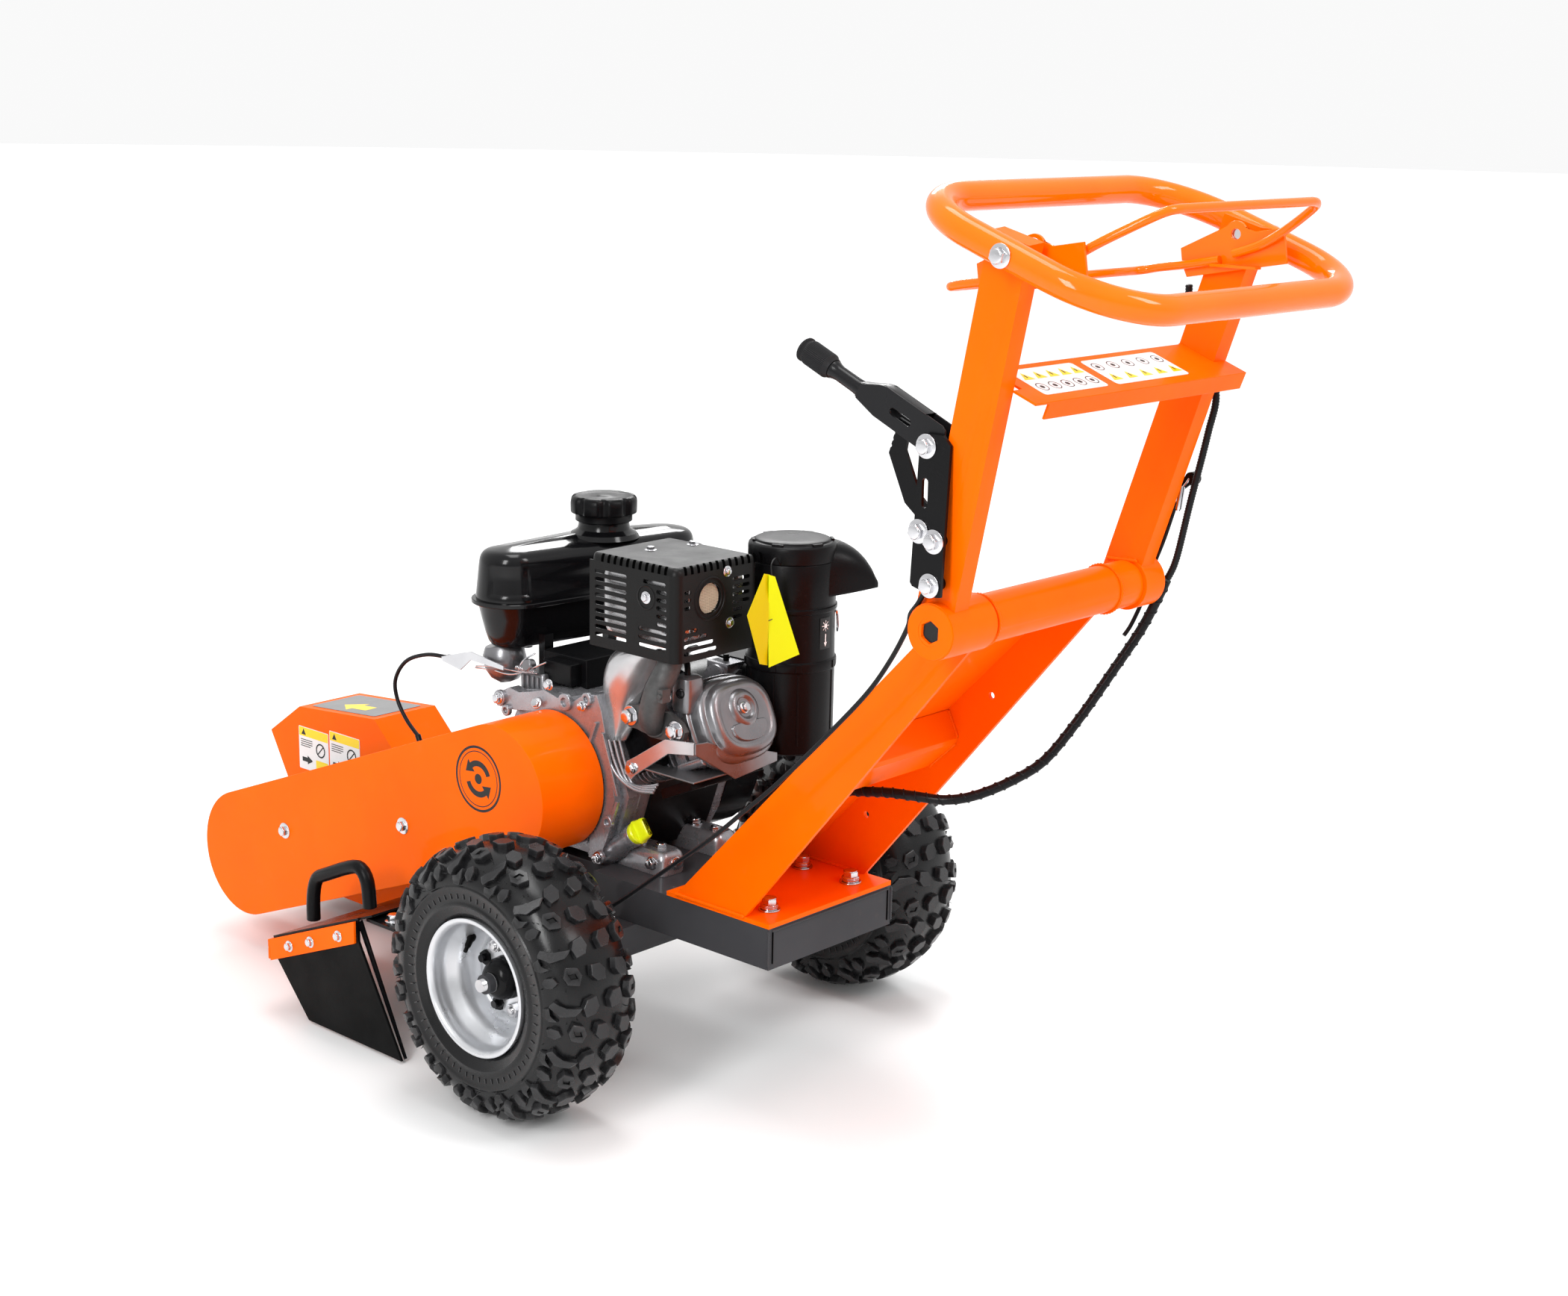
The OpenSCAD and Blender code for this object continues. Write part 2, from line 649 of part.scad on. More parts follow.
module crankcase_cover() color(cast) place() difference() {
    union() {
        side(case_l - 8, case_l - 0.02) translate([crank_y, crank_z]) {
            circle(r = 96);
            translate([-84, -78]) square([150, 90]);
        }
        for (i = [0:7]) rotate_about_x(45 * i + 12, crank_y, crank_z)
            rod_x(9, case_l - 10, case_l - 0.02, crank_y, crank_z + 88);
        rod_x(30, case_l - 12, case_l - 2, crank_y, crank_z);
    }
    rod_x(17.5 + run_gap, case_l - 20, case_l + 1, crank_y, crank_z);
}

// Finned barrel and head, bored for the piston.
module engine_cylinder() color(cast) place() on_cylinder() difference() {
    union() {
        translate([0, 0, 112.02]) cylinder(r = 50, h = 84);
        for (i = [0:fin_n - 1]) translate([-fin_w / 2, -50, 118 + i * 10]) cube([fin_w, 100, 4.5]);
        translate([-60, -54, 192]) cube([120, 106, 42]);
        // Exhaust port boss.
        translate([-77.98, 8, 184.2]) cube([24, 38, 32]);
    }
    translate([0, 0, 100]) cylinder(r = 43, h = 98);
}

module valve_cover() color(cast) place() on_cylinder() difference() {
    union() {
        translate([0, 0, 234.02]) linear_extrude(6) round_rect([-60, -52], [60, 52], 22);
        translate([0, 0, 240]) linear_extrude(24) round_rect([-56, -48], [56, 48], 26);
        translate([0, 0, 264]) linear_extrude(8) round_rect([-51, -43], [51, 43], 30);
        translate([0, 0, 272]) linear_extrude(head_reach - 272) round_rect([-44, -36], [44, 36], 30);
    }
    translate([0, 0, 234]) linear_extrude(28) round_rect([-50, -42], [50, 42], 20);
    translate([0, 0, head_reach - 5]) cylinder(r = 15, h = 10);
    translate([0, 0, 230]) cylinder(r = 3.3, h = 60);
}

// Sheet shroud over the left and top of the cylinder, with the lower cast air guide.
module cylinder_shroud() color(zinc) place() on_cylinder() {
    translate([-67, -30, 112.1]) cube([2, 92, 72]);
    translate([-67, 60, 112.1]) cube([126, 2, 72]);
    translate([-67, -72, 150]) cube([134, 14, 60]);
    translate([61, -60, 112.1]) cube([2, 100, 72]);
}

exhaust_path = [[-81, -20, 466], [-92, -22, 471], [-99, -25, 488], [-98, -30, 508], [-88, -34, 536],
    [-78, -36, 556], [-77, -36, 569.5]];

module exhaust_pipe() color(frame_grey) place() difference() {
    union() {
        sweep(smooth(exhaust_path, 2), 16, 16, [0, 1, 0]);
        side(-84, -78) translate([-20, 466]) rotate(-4) square([98, 34], center = true);
    }
    block([-78, -120, 430], [0, 100, 505]);
}

guard_a = [-105, -75, 556];
guard_b = [47, 82, 678];

module muffler() color(zinc) place() {
    difference() {
        side(guard_a[0] + 12, guard_b[0] - 12) round_rect([-58, 572], [66, 662], 20);
        side(guard_a[0] + 14, guard_b[0] - 14) round_rect([-56, 574], [64, 660], 18);
    }
    difference() {
        rod_y(19, -73.5, -57, -43, 633);
        rod_y(16, -74, -58.5, -43, 633);
    }
}

// Pressed-steel guard: five walls, two rows of cooling slots on the left and rear, one on the top edges.
module muffler_guard() color(black) place() difference() {
    block(guard_a, guard_b);
    block(guard_a + [2, 2, 2], guard_b + [-2, 1, -2]);
    block([guard_a[0] + 3, guard_a[1] + 12, 550], [guard_b[0] - 14, guard_b[1] - 2, 560]);
    // Left wall.
    for (i = [0:8]) {
        block([guard_a[0] - 1, 22, 572 + 9.6 * i], [guard_a[0] + 3, 64, 577 + 9.6 * i]);
        if (i < 4 || i > 6) block([guard_a[0] - 1, -62, 572 + 9.6 * i], [guard_a[0] + 3, -18, 577 + 9.6 * i]);
    }
    // Rear wall.
    for (i = [0:8]) {
        if (i < 3) block([guard_a[0] + 12, guard_a[1] - 1, 572 + 9.6 * i], [-10, guard_a[1] + 3, 577 + 9.6 * i]);
        if (i > 2) block([4, guard_a[1] - 1, 572 + 9.6 * i], [38, guard_a[1] + 3, 577 + 9.6 * i]);
    }
    rod_y(21, guard_a[1] - 1, guard_a[1] + 4, -43, 633);
    // Top wall.
    for (i = [0:9]) block([guard_a[0] + 8, -56 + 12 * i, 670], [guard_a[0] + 20, -51 + 12 * i, 680]);
}

module blower_housing() color(black) place() difference() {
    union() {
        side(case_r + 0.02, 168) intersection() {
            translate([crank_y, crank_z]) circle(r = 122);
            translate([0, deck_top + 6]) square([400, 300]);
        }
        // Duct to the cylinder.
        on_cylinder() translate([case_r + 0.02, -50, 60]) cube([30, 100, 90]);
    }
    side(case_r - 1, 165) intersection() {
        translate([crank_y, crank_z]) circle(r = 118);
        translate([0, deck_top + 10]) square([400, 300]);
    }
    rod_x(70, 160, 170, crank_y, crank_z);
    block([152, switch_at[0] - 11, switch_at[1] - 11], [170, switch_at[0] + 11, switch_at[1] + 11]);
}

switch_at = [225, 435];

module recoil_cover() color(black) place() difference() {
    union() {
        rod_x(90, 168.02, 196, crank_y, crank_z);
        rod_x(72, 196, 206, crank_y, crank_z);
        // Rope outlet.
        block([173, crank_y + 40, crank_z + 60], [196, crank_y + 76, crank_z + 92]);
    }
    rod_x(86, 168, 193, crank_y, crank_z);
    block([176, crank_y + 30, crank_z + 62], [190, crank_y + 80, crank_z + 86]);
    for (i = [0:11]) rotate_about_x(30 * i, crank_y, crank_z)
        block([190, crank_y + 26, crank_z - 5], [210, crank_y + 60, crank_z + 5]);
}

module starter_grip() color(black) place() {
    x = 183;
    y = crank_y + 92;
    z = crank_z + 75;
    bar([x, y, z - 22], [x, y, z + 30], 8);
    rod_y(5, y - 15.5, y, x, z);
    rod_y(2, y - 100, y - 15, x, z);
}

// Fuel tank: two shells that meet in a seam flange, with a filler neck.
tank_low = 520;
tank_seam = 574;
tank_top = 640;
cap_x = 100;
cap_y = 270;
module tank_plan(inset) hull() {
    translate([-52, 292]) circle(r = 56 - inset);
    translate([205, 262]) circle(r = 58 - inset);
    translate([110, 298]) circle(r = 58 - inset);
}

module fuel_tank() color(black) place() difference() {
    union() {
        translate([0, 0, tank_low]) linear_extrude(tank_seam - tank_low) tank_plan(8);
        translate([0, 0, tank_seam - 3]) linear_extrude(6) tank_plan(0);
        translate([0, 0, tank_seam]) linear_extrude(tank_top - tank_seam) tank_plan(5);
        rod_z(32, tank_top - 1, tank_top + 26, cap_x, cap_y);
        // Mounting legs down to the crankcase.
        for (x = [-40, 80]) block([x, 240, 439], [x + 16, 252, tank_low + 1]);
    }
    translate([0, 0, tank_low + 4]) linear_extrude(tank_seam - tank_low) tank_plan(12);
    translate([0, 0, tank_seam]) linear_extrude(tank_top - tank_seam - 4) tank_plan(9);
    rod_z(27, tank_top - 10, tank_top + 30, cap_x, cap_y);
}

module fuel_cap() color(black) place() difference() {
    union() {
        rod_z(cap_r - 3, 678, 704, cap_x, cap_y);
        for (i = [0:9]) rod_z(9, 678, 700, cap_x + (cap_r - 9) * cos(36 * i), cap_y + (cap_r - 9) * sin(36 * i));
        rod_z(36, tank_top + 14, 679, cap_x, cap_y);
    }
    rod_z(32.4, tank_top + 10, tank_top + 26.4, cap_x, cap_y);
}

can_x = 122;
can_y = -66;
can_low = 404;
can_top = 662;

module air_cleaner() color(black) place() {
    difference() {
        union() {
            rod_z(canister_r, can_low, can_top, can_x, can_y);
            rod_z(canister_r + 2, 596, 602, can_x, can_y);
            rod_z(canister_r + 2, 520, 530, can_x, can_y);
            // Bracket and duct to the intake.
            block([can_x - 21.9, can_y + 40, 470], [can_x + 24, can_y + 104, 516]);
        }
        rod_z(canister_r - 3, can_low + 3, can_top + 1, can_x, can_y);
    }
    // Filter element, joined to the canister's floor.
    difference() {
        rod_z(46, can_low + 2.9, 640, can_x, can_y);
        rod_z(28, can_low + 10, 641, can_x, can_y);
    }
}

module air_cleaner_cap() color(black) place() {
    difference() {
        union() {
            rod_z(canister_r, can_top + 0.02, 682, can_x, can_y);
            rod_z(canister_r - 10, 682, 690, can_x, can_y);
            // Rain hood facing rear and right.
            translate([can_x, can_y, 0]) rotate([0, 0, -42]) rotate([90, 0, 0])
                translate([0, 0, -34]) linear_extrude(68)
                    polygon([[30, 686], [64, 684], [88, 668], [104, 644], [110, 628], [80, 624],
                             [66, 640], [62, 663], [30, 663]]);
        }
        rod_z(canister_r - 4, can_top - 1, 676, can_x, can_y);
    }
}

module carburettor() color(cast) place() {
    block([66, -4, 472], [100, 34, 514]);
    rod_x(20, 60.02, 66, 14, 492);
    rod_z(15.9, 440, 473, 84, 16);
    rod_y(13, -8, -3, 86, 492);
}

module choke_lever() color(black) place() {
    rod_z(4, 514.4, 523, 83, 15);
    translate([83, 15, 517.5]) rotate([0, 0, 80]) linear_extrude(3) slot_2d(34, 5);
}

module engine_switch() color("#c0241c") place()
    block([161, switch_at[0] - 9, switch_at[1] - 9], [172, switch_at[0] + 9, switch_at[1] + 9]);

module dipstick() color(lime) place() translate([-78, 40, 292]) rotate([54, 0, 0]) {
    translate([0, 0, 22.4]) cylinder(r = 15, h = 8);
    translate([-5, -14, 30]) cube([10, 28, 18]);
    translate([0, 0, 4]) cylinder(r = 8.6, h = 19);
}

// ---------- fasteners on the frame and engine ----------

module frame_bolts() color(zinc) place() {
    for (p = base_bolts) translate([p[0], p[1], base_top + 0.02]) hex_bolt(16, 5, 11);
    for (p = cover_bolts) translate([-cover_x - 0.02, p[0], p[1]]) face_left() hex_bolt(13, 4, 22);
    for (p = clamp_bolts) translate([-guard_x - 7.52, p[0], p[1]]) face_left() hex_bolt(10, 3, 3);
    translate([-300, 252, 181.52]) hex_bolt(16, 5, 0);
    for (a = [-1, 1], b = [-1, 1]) translate([housing_r + 12.04, cutter_y + a * 39, cutter_z + b * 39])
        face_right() hex_bolt(16, 5, 11.9);
}

module engine_screws() color(zinc) place() {
    for (x = engine_hole_x, y = engine_hole_y) translate([x, y, deck_top + 16.02]) hex_bolt(13, 4, 20);
    on_cylinder() translate([0, 0, head_reach - 4.98]) hex_bolt(10, 3, 30);
    translate([guard_a[0] - 0.02, -22, 635]) face_left() hex_bolt(8, 2.5, 0);
    for (p = [[-12, 664], [-7, 596]]) translate([p[0], guard_a[1] - 0.02, p[1]]) face_rear() hex_bolt(8, 2.5, 0);
    for (p = [[-36, 40], [30, 28]]) translate([p[0], p[1], guard_b[2] + 0.02]) hex_bolt(8, 2.5, 0);
    for (p = [[-61, 469], [21, 463]]) translate([-84.02, p[0], p[1]]) face_left() hex_bolt(13, 4, 0);
}

// ---------- handle ----------

// Moves to an arm's frame: +Z runs up along the arm from the pivot, s is -1 left or 1 right.
arm_base = [177.5, -548.6, 702];
arm_len = 438;

module on_arm(s) {
    translate([s * arm_base[0], arm_base[1], arm_base[2]]) rotate([arm_lean, s * arm_splay, 0]) children();
}

// Moves to the ring handlebar's sloping plane.
module on_ring() {
    translate([0, ring_y, ring_z]) rotate([ring_slope, 0, 0]) children();
}

module handle_arms() color(orange) place() for (s = [-1, 1]) difference() {
    union() {
        difference() {
            on_arm(s) translate([-arm_w / 2, -arm_d / 2, 6]) cube([arm_w, arm_d, arm_len]);
            on_arm(s) translate([-arm_w / 2 + 3, -arm_d / 2 + 3, 40]) cube([arm_w - 6, arm_d - 6, arm_len - 38]);
        }
        if (s < 0) rod_x(sleeve_r, -sleeve_x, -127.8, -pivot_y, pivot_z);
        else rod_x(sleeve_r, 164.8, sleeve_x, -pivot_y, pivot_z);
    }
    rod_x(pivot_r + 0.02, -sleeve_x - 1, sleeve_x + 1, -pivot_y, pivot_z);
    on_ring() rod_y(ring_tube + 0.02, -60, 90, s * ring_a, 0);
    rod_x(6.02, s > 0 ? 180 : -225, s > 0 ? 225 : -180, bail_y, bail_z);
}

module ring_corner_tube(sx, sv, t0) {
    translate([sx * (ring_a - ring_corner), sv * (ring_b - ring_corner), 0]) rotate([0, 0, t0])
        rotate_extrude(angle = 90, $fn = 64) translate([ring_corner, 0]) circle(r = ring_tube);
}

module handle_ring() color(orange) place() on_ring() {
    ring_corner_tube(1, 1, 0);
    ring_corner_tube(-1, 1, 90);
    ring_corner_tube(-1, -1, 180);
    ring_corner_tube(1, -1, 270);
    for (s = [-1, 1]) {
        rod_x(ring_tube, -ring_a + ring_corner, ring_a - ring_corner, s * ring_b, 0);
        rod_y(ring_tube, -ring_b + ring_corner, ring_b - ring_corner, s * ring_a, 0);
    }
}

tray_half = 188;
tray_len = 82;

// Sloping tray between the arms; its rear lip runs on behind the right arm.
module console_tray() color(orange) place() difference() {
    translate([0, -600, 987]) rotate([20.5, 0, 0]) {
        translate([-tray_half - 4, -tray_len, -3]) cube([2 * tray_half + 8, tray_len - 2, 3]);
        translate([tray_half, -tray_len, -3]) cube([27, tray_len, 3]);
        translate([-tray_half + 20, -tray_len, -21]) cube([2 * tray_half + 7, 3, 20]);
    }
    for (s = [-1, 1])
        on_arm(s) translate([-arm_w / 2 - 0.05, -arm_d / 2 - 0.05, 200]) cube([arm_w + 14, arm_d + 60, 150]);
}

lever_at = [-554, 902.5];
throttle_at = [-578, 802];
bracket_x = 216;
bracket_bolts = [[-568, 801.5], [-564, 753]];

module handle_bolts() color(zinc) place() {
    // Pivot bolt with a hex socket in each end.
    difference() {
        rod_x(pivot_r, -sleeve_x - 2, sleeve_x + 2, -pivot_y, pivot_z);
        for (s = [-1, 1]) translate([s * (sleeve_x - 4), -pivot_y, pivot_z]) rotate([0, s * 90, 0])
            cylinder(r = 11, h = 10, $fn = 6);
    }
    // Ring handlebar bolts and the bail's pivots.
    for (s = [-1, 1]) {
        translate([s * (ring_a + ring_tube + 0.02), ring_y, ring_z]) rotate([0, s * 90, 0]) hex_bolt(16, 5, 0);
        rod_x(6, s > 0 ? 184 : -224, s > 0 ? 224 : -184, bail_y, bail_z);
        translate([s * 184, bail_y, bail_z]) rotate([0, -s * 90, 0]) hex_bolt(16, 6, 0);
    }
    // Brake-lever pivot and bracket bolts.
    rod_x(5, -bracket_x, -190, lever_at[0], lever_at[1]);
    translate([-bracket_x - 0.02, lever_at[0], lever_at[1]]) face_left() hex_bolt(16, 5, 0);
    for (p = concat(bracket_bolts, [[-547, 810]])) translate([-bracket_x - 0.02, p[0], p[1]])
        face_left() hex_bolt(16, 5, 0);
    // Throttle post on the right arm.
    rod_x(7, 200.4, 221.6, throttle_at[0], throttle_at[1]);
    rod_x(4, 221, 227, throttle_at[0], throttle_at[1]);
}

// Plate that carries the brake lever, with its spacers and the toothed quadrant behind it.
module brake_bracket() color(black) place() {
    difference() {
        side(-bracket_x, -bracket_x + 4)
            polygon([[-545, 912], [-549, 916], [-576, 916], [-586, 906], [-579, 742], [-572, 741],
                     [-540, 749], [-537, 753]]);
        rod_x(5.02, -220, -200, lever_at[0], lever_at[1]);
        side(-220, -200) translate([-553.5, 840]) rotate(90) slot_2d(24, 4);
    }
    for (p = bracket_bolts)
        rod_x(7, -bracket_x + 3.9, -arm_base[0] - arm_w / 2 - (p[1] - arm_base[2]) * tan(arm_splay) - 1.2,
            p[0], p[1]);
    difference() {
        side(-202, -198)
            polygon([[-505, 926], [-499, 911], [-491, 886.6], [-515, 835], [-533, 821], [-538, 798], [-546, 798],
                     [-556, 836], [-545, 838], [-535.5, 846], [-514, 892], [-516, 903], [-523, 919]]);
        for (i = [0:3]) side(-204, -196) translate([-499 + 2 * i, 916 - 7 * i]) circle(r = 2);
    }
    rod_x(7, -bracket_x + 3.9, -201.9, -547, 810);
}

// Moves to the brake lever's frame: first axis along the lever, second square to it.
lever_tilt = 23.5;
module on_lever() {
    translate([-200, lever_at[0], lever_at[1]]) rotate([lever_tilt, 0, 0]) children();
}

module brake_lever() color(black) place() on_lever() difference() {
    union() {
        for (x = [-8.4, 6.4]) side(x, x + 2)
            polygon([[-12, -8], [10, -12], [84, -12], [116, -6], [116, 12], [86, 26], [-6, 26], [-13, 18]]);
        side(-7, 7) polygon([[24, 22], [24, 26], [86, 26], [116, 12], [116, 8], [84, 22]]);
        side(-7, 7) polygon([[96, -10], [116, -6], [116, 10], [96, 16]]);
        rod_y(8.5, 115, 160, 0, 2.5);
    }
    rod_x(5 + run_gap, -20, 20, 0, 0);
    for (x = [-12]) side(x, x + 8) translate([34, 6]) slot_2d(26, 4);
}

module brake_adjuster() color(black) place() on_lever() difference() {
    union() {
        rod_y(14.5, 160.4, 204, 0, 2.5);
        rod_y(12.5, 204, 207, 0, 2.5);
    }
    rod_y(5, 150, 180, 0, 2.5);
}

// Presence bail: two side plates with round-bar loops to the rear and the front.
bail_plate_x = 190;

rear_half = [[-184, -664, 1093], [-184, -704, 1107], [-177, -742, 1128], [-152, -786, 1154], [-132, -796, 1160]];
front_half = [[-185, -650, 1086], [-185, -617, 1079.5], [-185, -568, 1071.5], [-181, -550, 1068], [-168, -545, 1067]];

// A bent rod through the given points and their mirror image on the right.
module bent_rod(half)
    sweep(concat(smooth(half, 2), [for (p = reverse_of(smooth(half, 2))) [-p[0], p[1], p[2]]]), 5, 10, [0, 0.4, -1]);
function reverse_of(p) = [for (i = [len(p) - 1:-1:0]) p[i]];

module bail() color(orange) place() {
    for (s = [-1, 1]) difference() {
        side(s > 0 ? bail_plate_x : -bail_plate_x - 4, s > 0 ? bail_plate_x + 4 : -bail_plate_x) {
            polygon([[-594, 1095.4], [-604, 1063], [-733.6, 1086.6], [-727, 1126]]);
            translate([bail_y, bail_z]) circle(r = 15);
        }
        rod_x(6 + run_gap, -230, 230, bail_y, bail_z);
    }
    bent_rod(rear_half);
    bent_rod(front_half);
}

// Throttle lever on the right arm, with its knob.
module throttle_lever() color(black) place() {
    difference() {
        side(222, 225) translate(throttle_at) rotate(140) slot_2d(34, 6);
        rod_x(4 + run_gap, 200, 240, throttle_at[0], throttle_at[1]);
    }
    rod_x(8, 225, 236, throttle_at[0] + 34 * cos(140), throttle_at[1] + 34 * sin(140));
}

// ---------- cables ----------

conduit_path = [[216, -592, 1052], [221, -592, 1010], [227, -604, 972], [224, -632, 930], [220, -627, 880],
    [216, -611, 796], [214, -598, 728], [213.5, -587, 701]];
bundle_path = [[213.5, -586, 700], [212.5, -575, 674], [202, -560, 634], [174, -540, 582], [145, -518, 528],
    [110, -496, 479], [75, -476, 456], [40, -446, 437], [15, -418, 430], [0, -381, 430], [-6, -346, 428],
    [-8, -300, 420], [-8, -252, 412]];
wire_path = [[213, -594, 796], [213, -580, 750], [213, -566, 712], [212, -557, 676], [200, -549, 642],
    [190, -545, 628]];

module control_cables() color(black) place() {
    sweep(smooth(conduit_path, 3), 4.5, 8, [1, 0, 0]);
    sweep(smooth(bundle_path, 2), 7, 8, [1, 0, 0]);
    sweep(smooth(wire_path, 2), 3, 8, [1, 0, 0]);
}

brake_path = [[-199.5, -551, 752], [-199, -537, 728], [-196, -523.5, 712], [-190, -515, 694], [-180, -484, 650],
    [-176, -447, 603],
    [-170, -380, 536], [-170, -311, 468], [-178, -260, 420], [-185, -213, 377], [-190, -130, 312],
    [-194, -60, 258], [-222, -36, 240], [-250, -26, 233], [-260, -14.1, 231]];

module brake_cable() color(black) place() sweep(smooth(brake_path, 2), 3, 8, [1, 0, 0]);

throttle_path = [[-92, 449, 353], [-92, 476, 373], [-92, 496, 400], [-92, 499, 429], [-92, 474, 460],
    [-91, 430, 477], [-90, 386, 481], [-90, 352, 482]];

module throttle_cable() color(black) place() sweep(smooth(throttle_path, 2), 3, 8, [1, 0, 0]);

chassis();
axle();
column();
column_brace();
cutter_housing();
cutter_bearings();
belt_backplate();
belt_cover();
drive_belt();
debris_guard();
debris_flap();
flap_clamp();
guard_handle();
frame_bolts();
crankcase();
crankcase_cover();
engine_cylinder();
valve_cover();
cylinder_shroud();
exhaust_pipe();
muffler();
muffler_guard();
blower_housing();
recoil_cover();
fuel_tank();
air_cleaner();
carburettor();
engine_screws();
brake_plate();
control_cables();
brake_cable();
throttle_cable();
crankshaft();
flywheel();
clutch_pulley();
cutter_shaft();
cutter_pulley();
cutter_disc();
cutter_teeth();
left_tyre();
left_rim();
left_hub();
right_tyre();
right_rim();
right_hub();
handle_arms();
handle_ring();
console_tray();
handle_bolts();
brake_bracket();
bail();
brake_lever();
brake_adjuster();
throttle_lever();
fuel_cap();
air_cleaner_cap();
starter_grip();
dipstick();
choke_lever();
engine_switch();
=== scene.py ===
import json
import math
import random

import bmesh
import bpy
from mathutils import Matrix, Vector

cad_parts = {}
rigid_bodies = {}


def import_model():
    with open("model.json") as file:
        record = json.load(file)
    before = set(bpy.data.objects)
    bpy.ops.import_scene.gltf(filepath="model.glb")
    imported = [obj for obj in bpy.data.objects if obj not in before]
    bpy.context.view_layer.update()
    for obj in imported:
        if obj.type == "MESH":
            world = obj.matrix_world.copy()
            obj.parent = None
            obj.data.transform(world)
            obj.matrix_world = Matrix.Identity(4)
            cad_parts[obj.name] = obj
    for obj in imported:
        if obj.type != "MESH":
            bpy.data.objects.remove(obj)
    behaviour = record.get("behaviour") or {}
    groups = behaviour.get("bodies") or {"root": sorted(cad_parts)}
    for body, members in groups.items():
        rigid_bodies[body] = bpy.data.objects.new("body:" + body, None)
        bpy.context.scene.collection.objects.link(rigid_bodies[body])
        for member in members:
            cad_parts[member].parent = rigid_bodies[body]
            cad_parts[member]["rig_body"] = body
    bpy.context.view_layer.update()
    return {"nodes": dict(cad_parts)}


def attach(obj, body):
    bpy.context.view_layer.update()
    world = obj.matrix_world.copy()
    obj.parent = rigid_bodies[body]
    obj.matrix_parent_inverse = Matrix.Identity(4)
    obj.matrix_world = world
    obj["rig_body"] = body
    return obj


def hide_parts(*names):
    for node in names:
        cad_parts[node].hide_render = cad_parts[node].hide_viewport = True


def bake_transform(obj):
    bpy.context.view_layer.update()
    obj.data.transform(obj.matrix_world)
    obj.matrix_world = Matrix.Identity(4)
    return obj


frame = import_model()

MID_Y = 33.62            # the CAD moves the axle frame back by this much, in mm


def at(x, y, z):
    """A point of the axle frame, in mm, as metres in the row frame."""
    return Vector((x / 1000, (y - MID_Y) / 1000, z / 1000))


def linked(name, data):
    """A new object in the scene."""
    item = bpy.data.objects.new(name, data)
    bpy.context.scene.collection.objects.link(item)
    return item


def polar(r, degrees, x=0.0, y=0.0):
    """The point at a radius and an angle from (x, y)."""
    return (x + r * math.cos(math.radians(degrees)), y + r * math.sin(math.radians(degrees)))


# ---------- camera, light and floor ----------

def make_camera():
    data = bpy.data.cameras.new("camera")
    data.sensor_fit = "HORIZONTAL"
    data.sensor_width = 36
    data.lens = 54.56
    data.clip_end = 40
    azimuth, down, roll = math.radians(48.12), math.radians(13.73), math.radians(1.11)
    forward = Vector((math.sin(azimuth) * math.cos(down), math.cos(azimuth) * math.cos(down), -math.sin(down)))
    right = forward.cross(Vector((0, 0, 1))).normalized()
    up = right.cross(forward)
    right, up = right * math.cos(roll) + up * math.sin(roll), up * math.cos(roll) - right * math.sin(roll)
    turn = Matrix((right, up, -forward)).transposed().to_4x4()
    camera = linked("camera", data)
    camera.matrix_world = Matrix.Translation(Vector((-2.1704, -2.1430, 1.2891))) @ turn
    bpy.context.scene.camera = camera


def area_light(name, place, target, size, power):
    data = bpy.data.lights.new(name, "AREA")
    data.shape = "RECTANGLE"
    data.size, data.size_y = size
    data.energy = power
    light = linked(name, data)
    light.location = place
    light.rotation_euler = (Vector(target) - Vector(place)).to_track_quat("-Z", "Y").to_euler()


def make_studio():
    world = bpy.data.worlds.new("studio")
    world.use_nodes = True
    tree = world.node_tree
    background = tree.nodes["Background"]
    background.inputs["Strength"].default_value = 1.0
    # A soft box all round: brighter overhead and on one side, so that metal shows its shape.
    place = tree.nodes.new("ShaderNodeTexCoord").outputs["Generated"]
    across = tree.nodes.new("ShaderNodeVectorMath")
    across.operation = "DOT_PRODUCT"
    across.inputs[1].default_value = (0.52, 0.40, 0.755)
    tree.links.new(place, across.inputs[0])
    shade = tree.nodes.new("ShaderNodeMapRange")
    shade.interpolation_type = "SMOOTHSTEP"
    for key, value in (("From Min", -0.85), ("From Max", 0.30), ("To Min", 0.50), ("To Max", 0.95)):
        shade.inputs[key].default_value = value
    tree.links.new(across.outputs["Value"], shade.inputs["Value"])
    tree.links.new(shade.outputs["Result"], background.inputs["Color"])
    bpy.context.scene.world = world
    bpy.context.scene.view_settings.view_transform = "Standard"
    area_light("key", (0.9, -3.2, 3.4), (0, 0, 0.5), (0.9, 1.6), 60)
    area_light("side", (-3.6, -1.2, 2.6), (0, 0, 0.5), (0.9, 2.2), 105)
    area_light("rim", (3.0, 2.6, 2.8), (0, 0, 0.6), (1.6, 0.8), 50)
    area_light("top", (0.2, 0.3, 4.2), (0, 0, 0), (1.2, 2.4), 60)
    floor = bpy.data.meshes.new("floor")
    sides, reach = 96, 34
    rim = [(reach * math.cos(math.tau * i / sides), reach * math.sin(math.tau * i / sides), 0) for i in range(sides)]
    floor.from_pydata(rim, [], [tuple(range(sides))])
    plane = linked("floor", floor)
    # The floor glows more a few metres out: painted light that makes it paler where the lights don't reach.
    n = Nodes("floor_painted_glow")
    away = n.tree.nodes.new("ShaderNodeVectorMath")
    away.operation = "LENGTH"
    n.feed(away.inputs[0], n.place)
    glow = n.remap(away.outputs["Value"], 1.6, 5.0, 0.0, 0.28)
    plane.data.materials.append(n.set(base_color=(0.84, 0.84, 0.84), roughness=0.6, emission_color=(1, 1, 1),
                                      emission_strength=glow))


# ---------- materials ----------

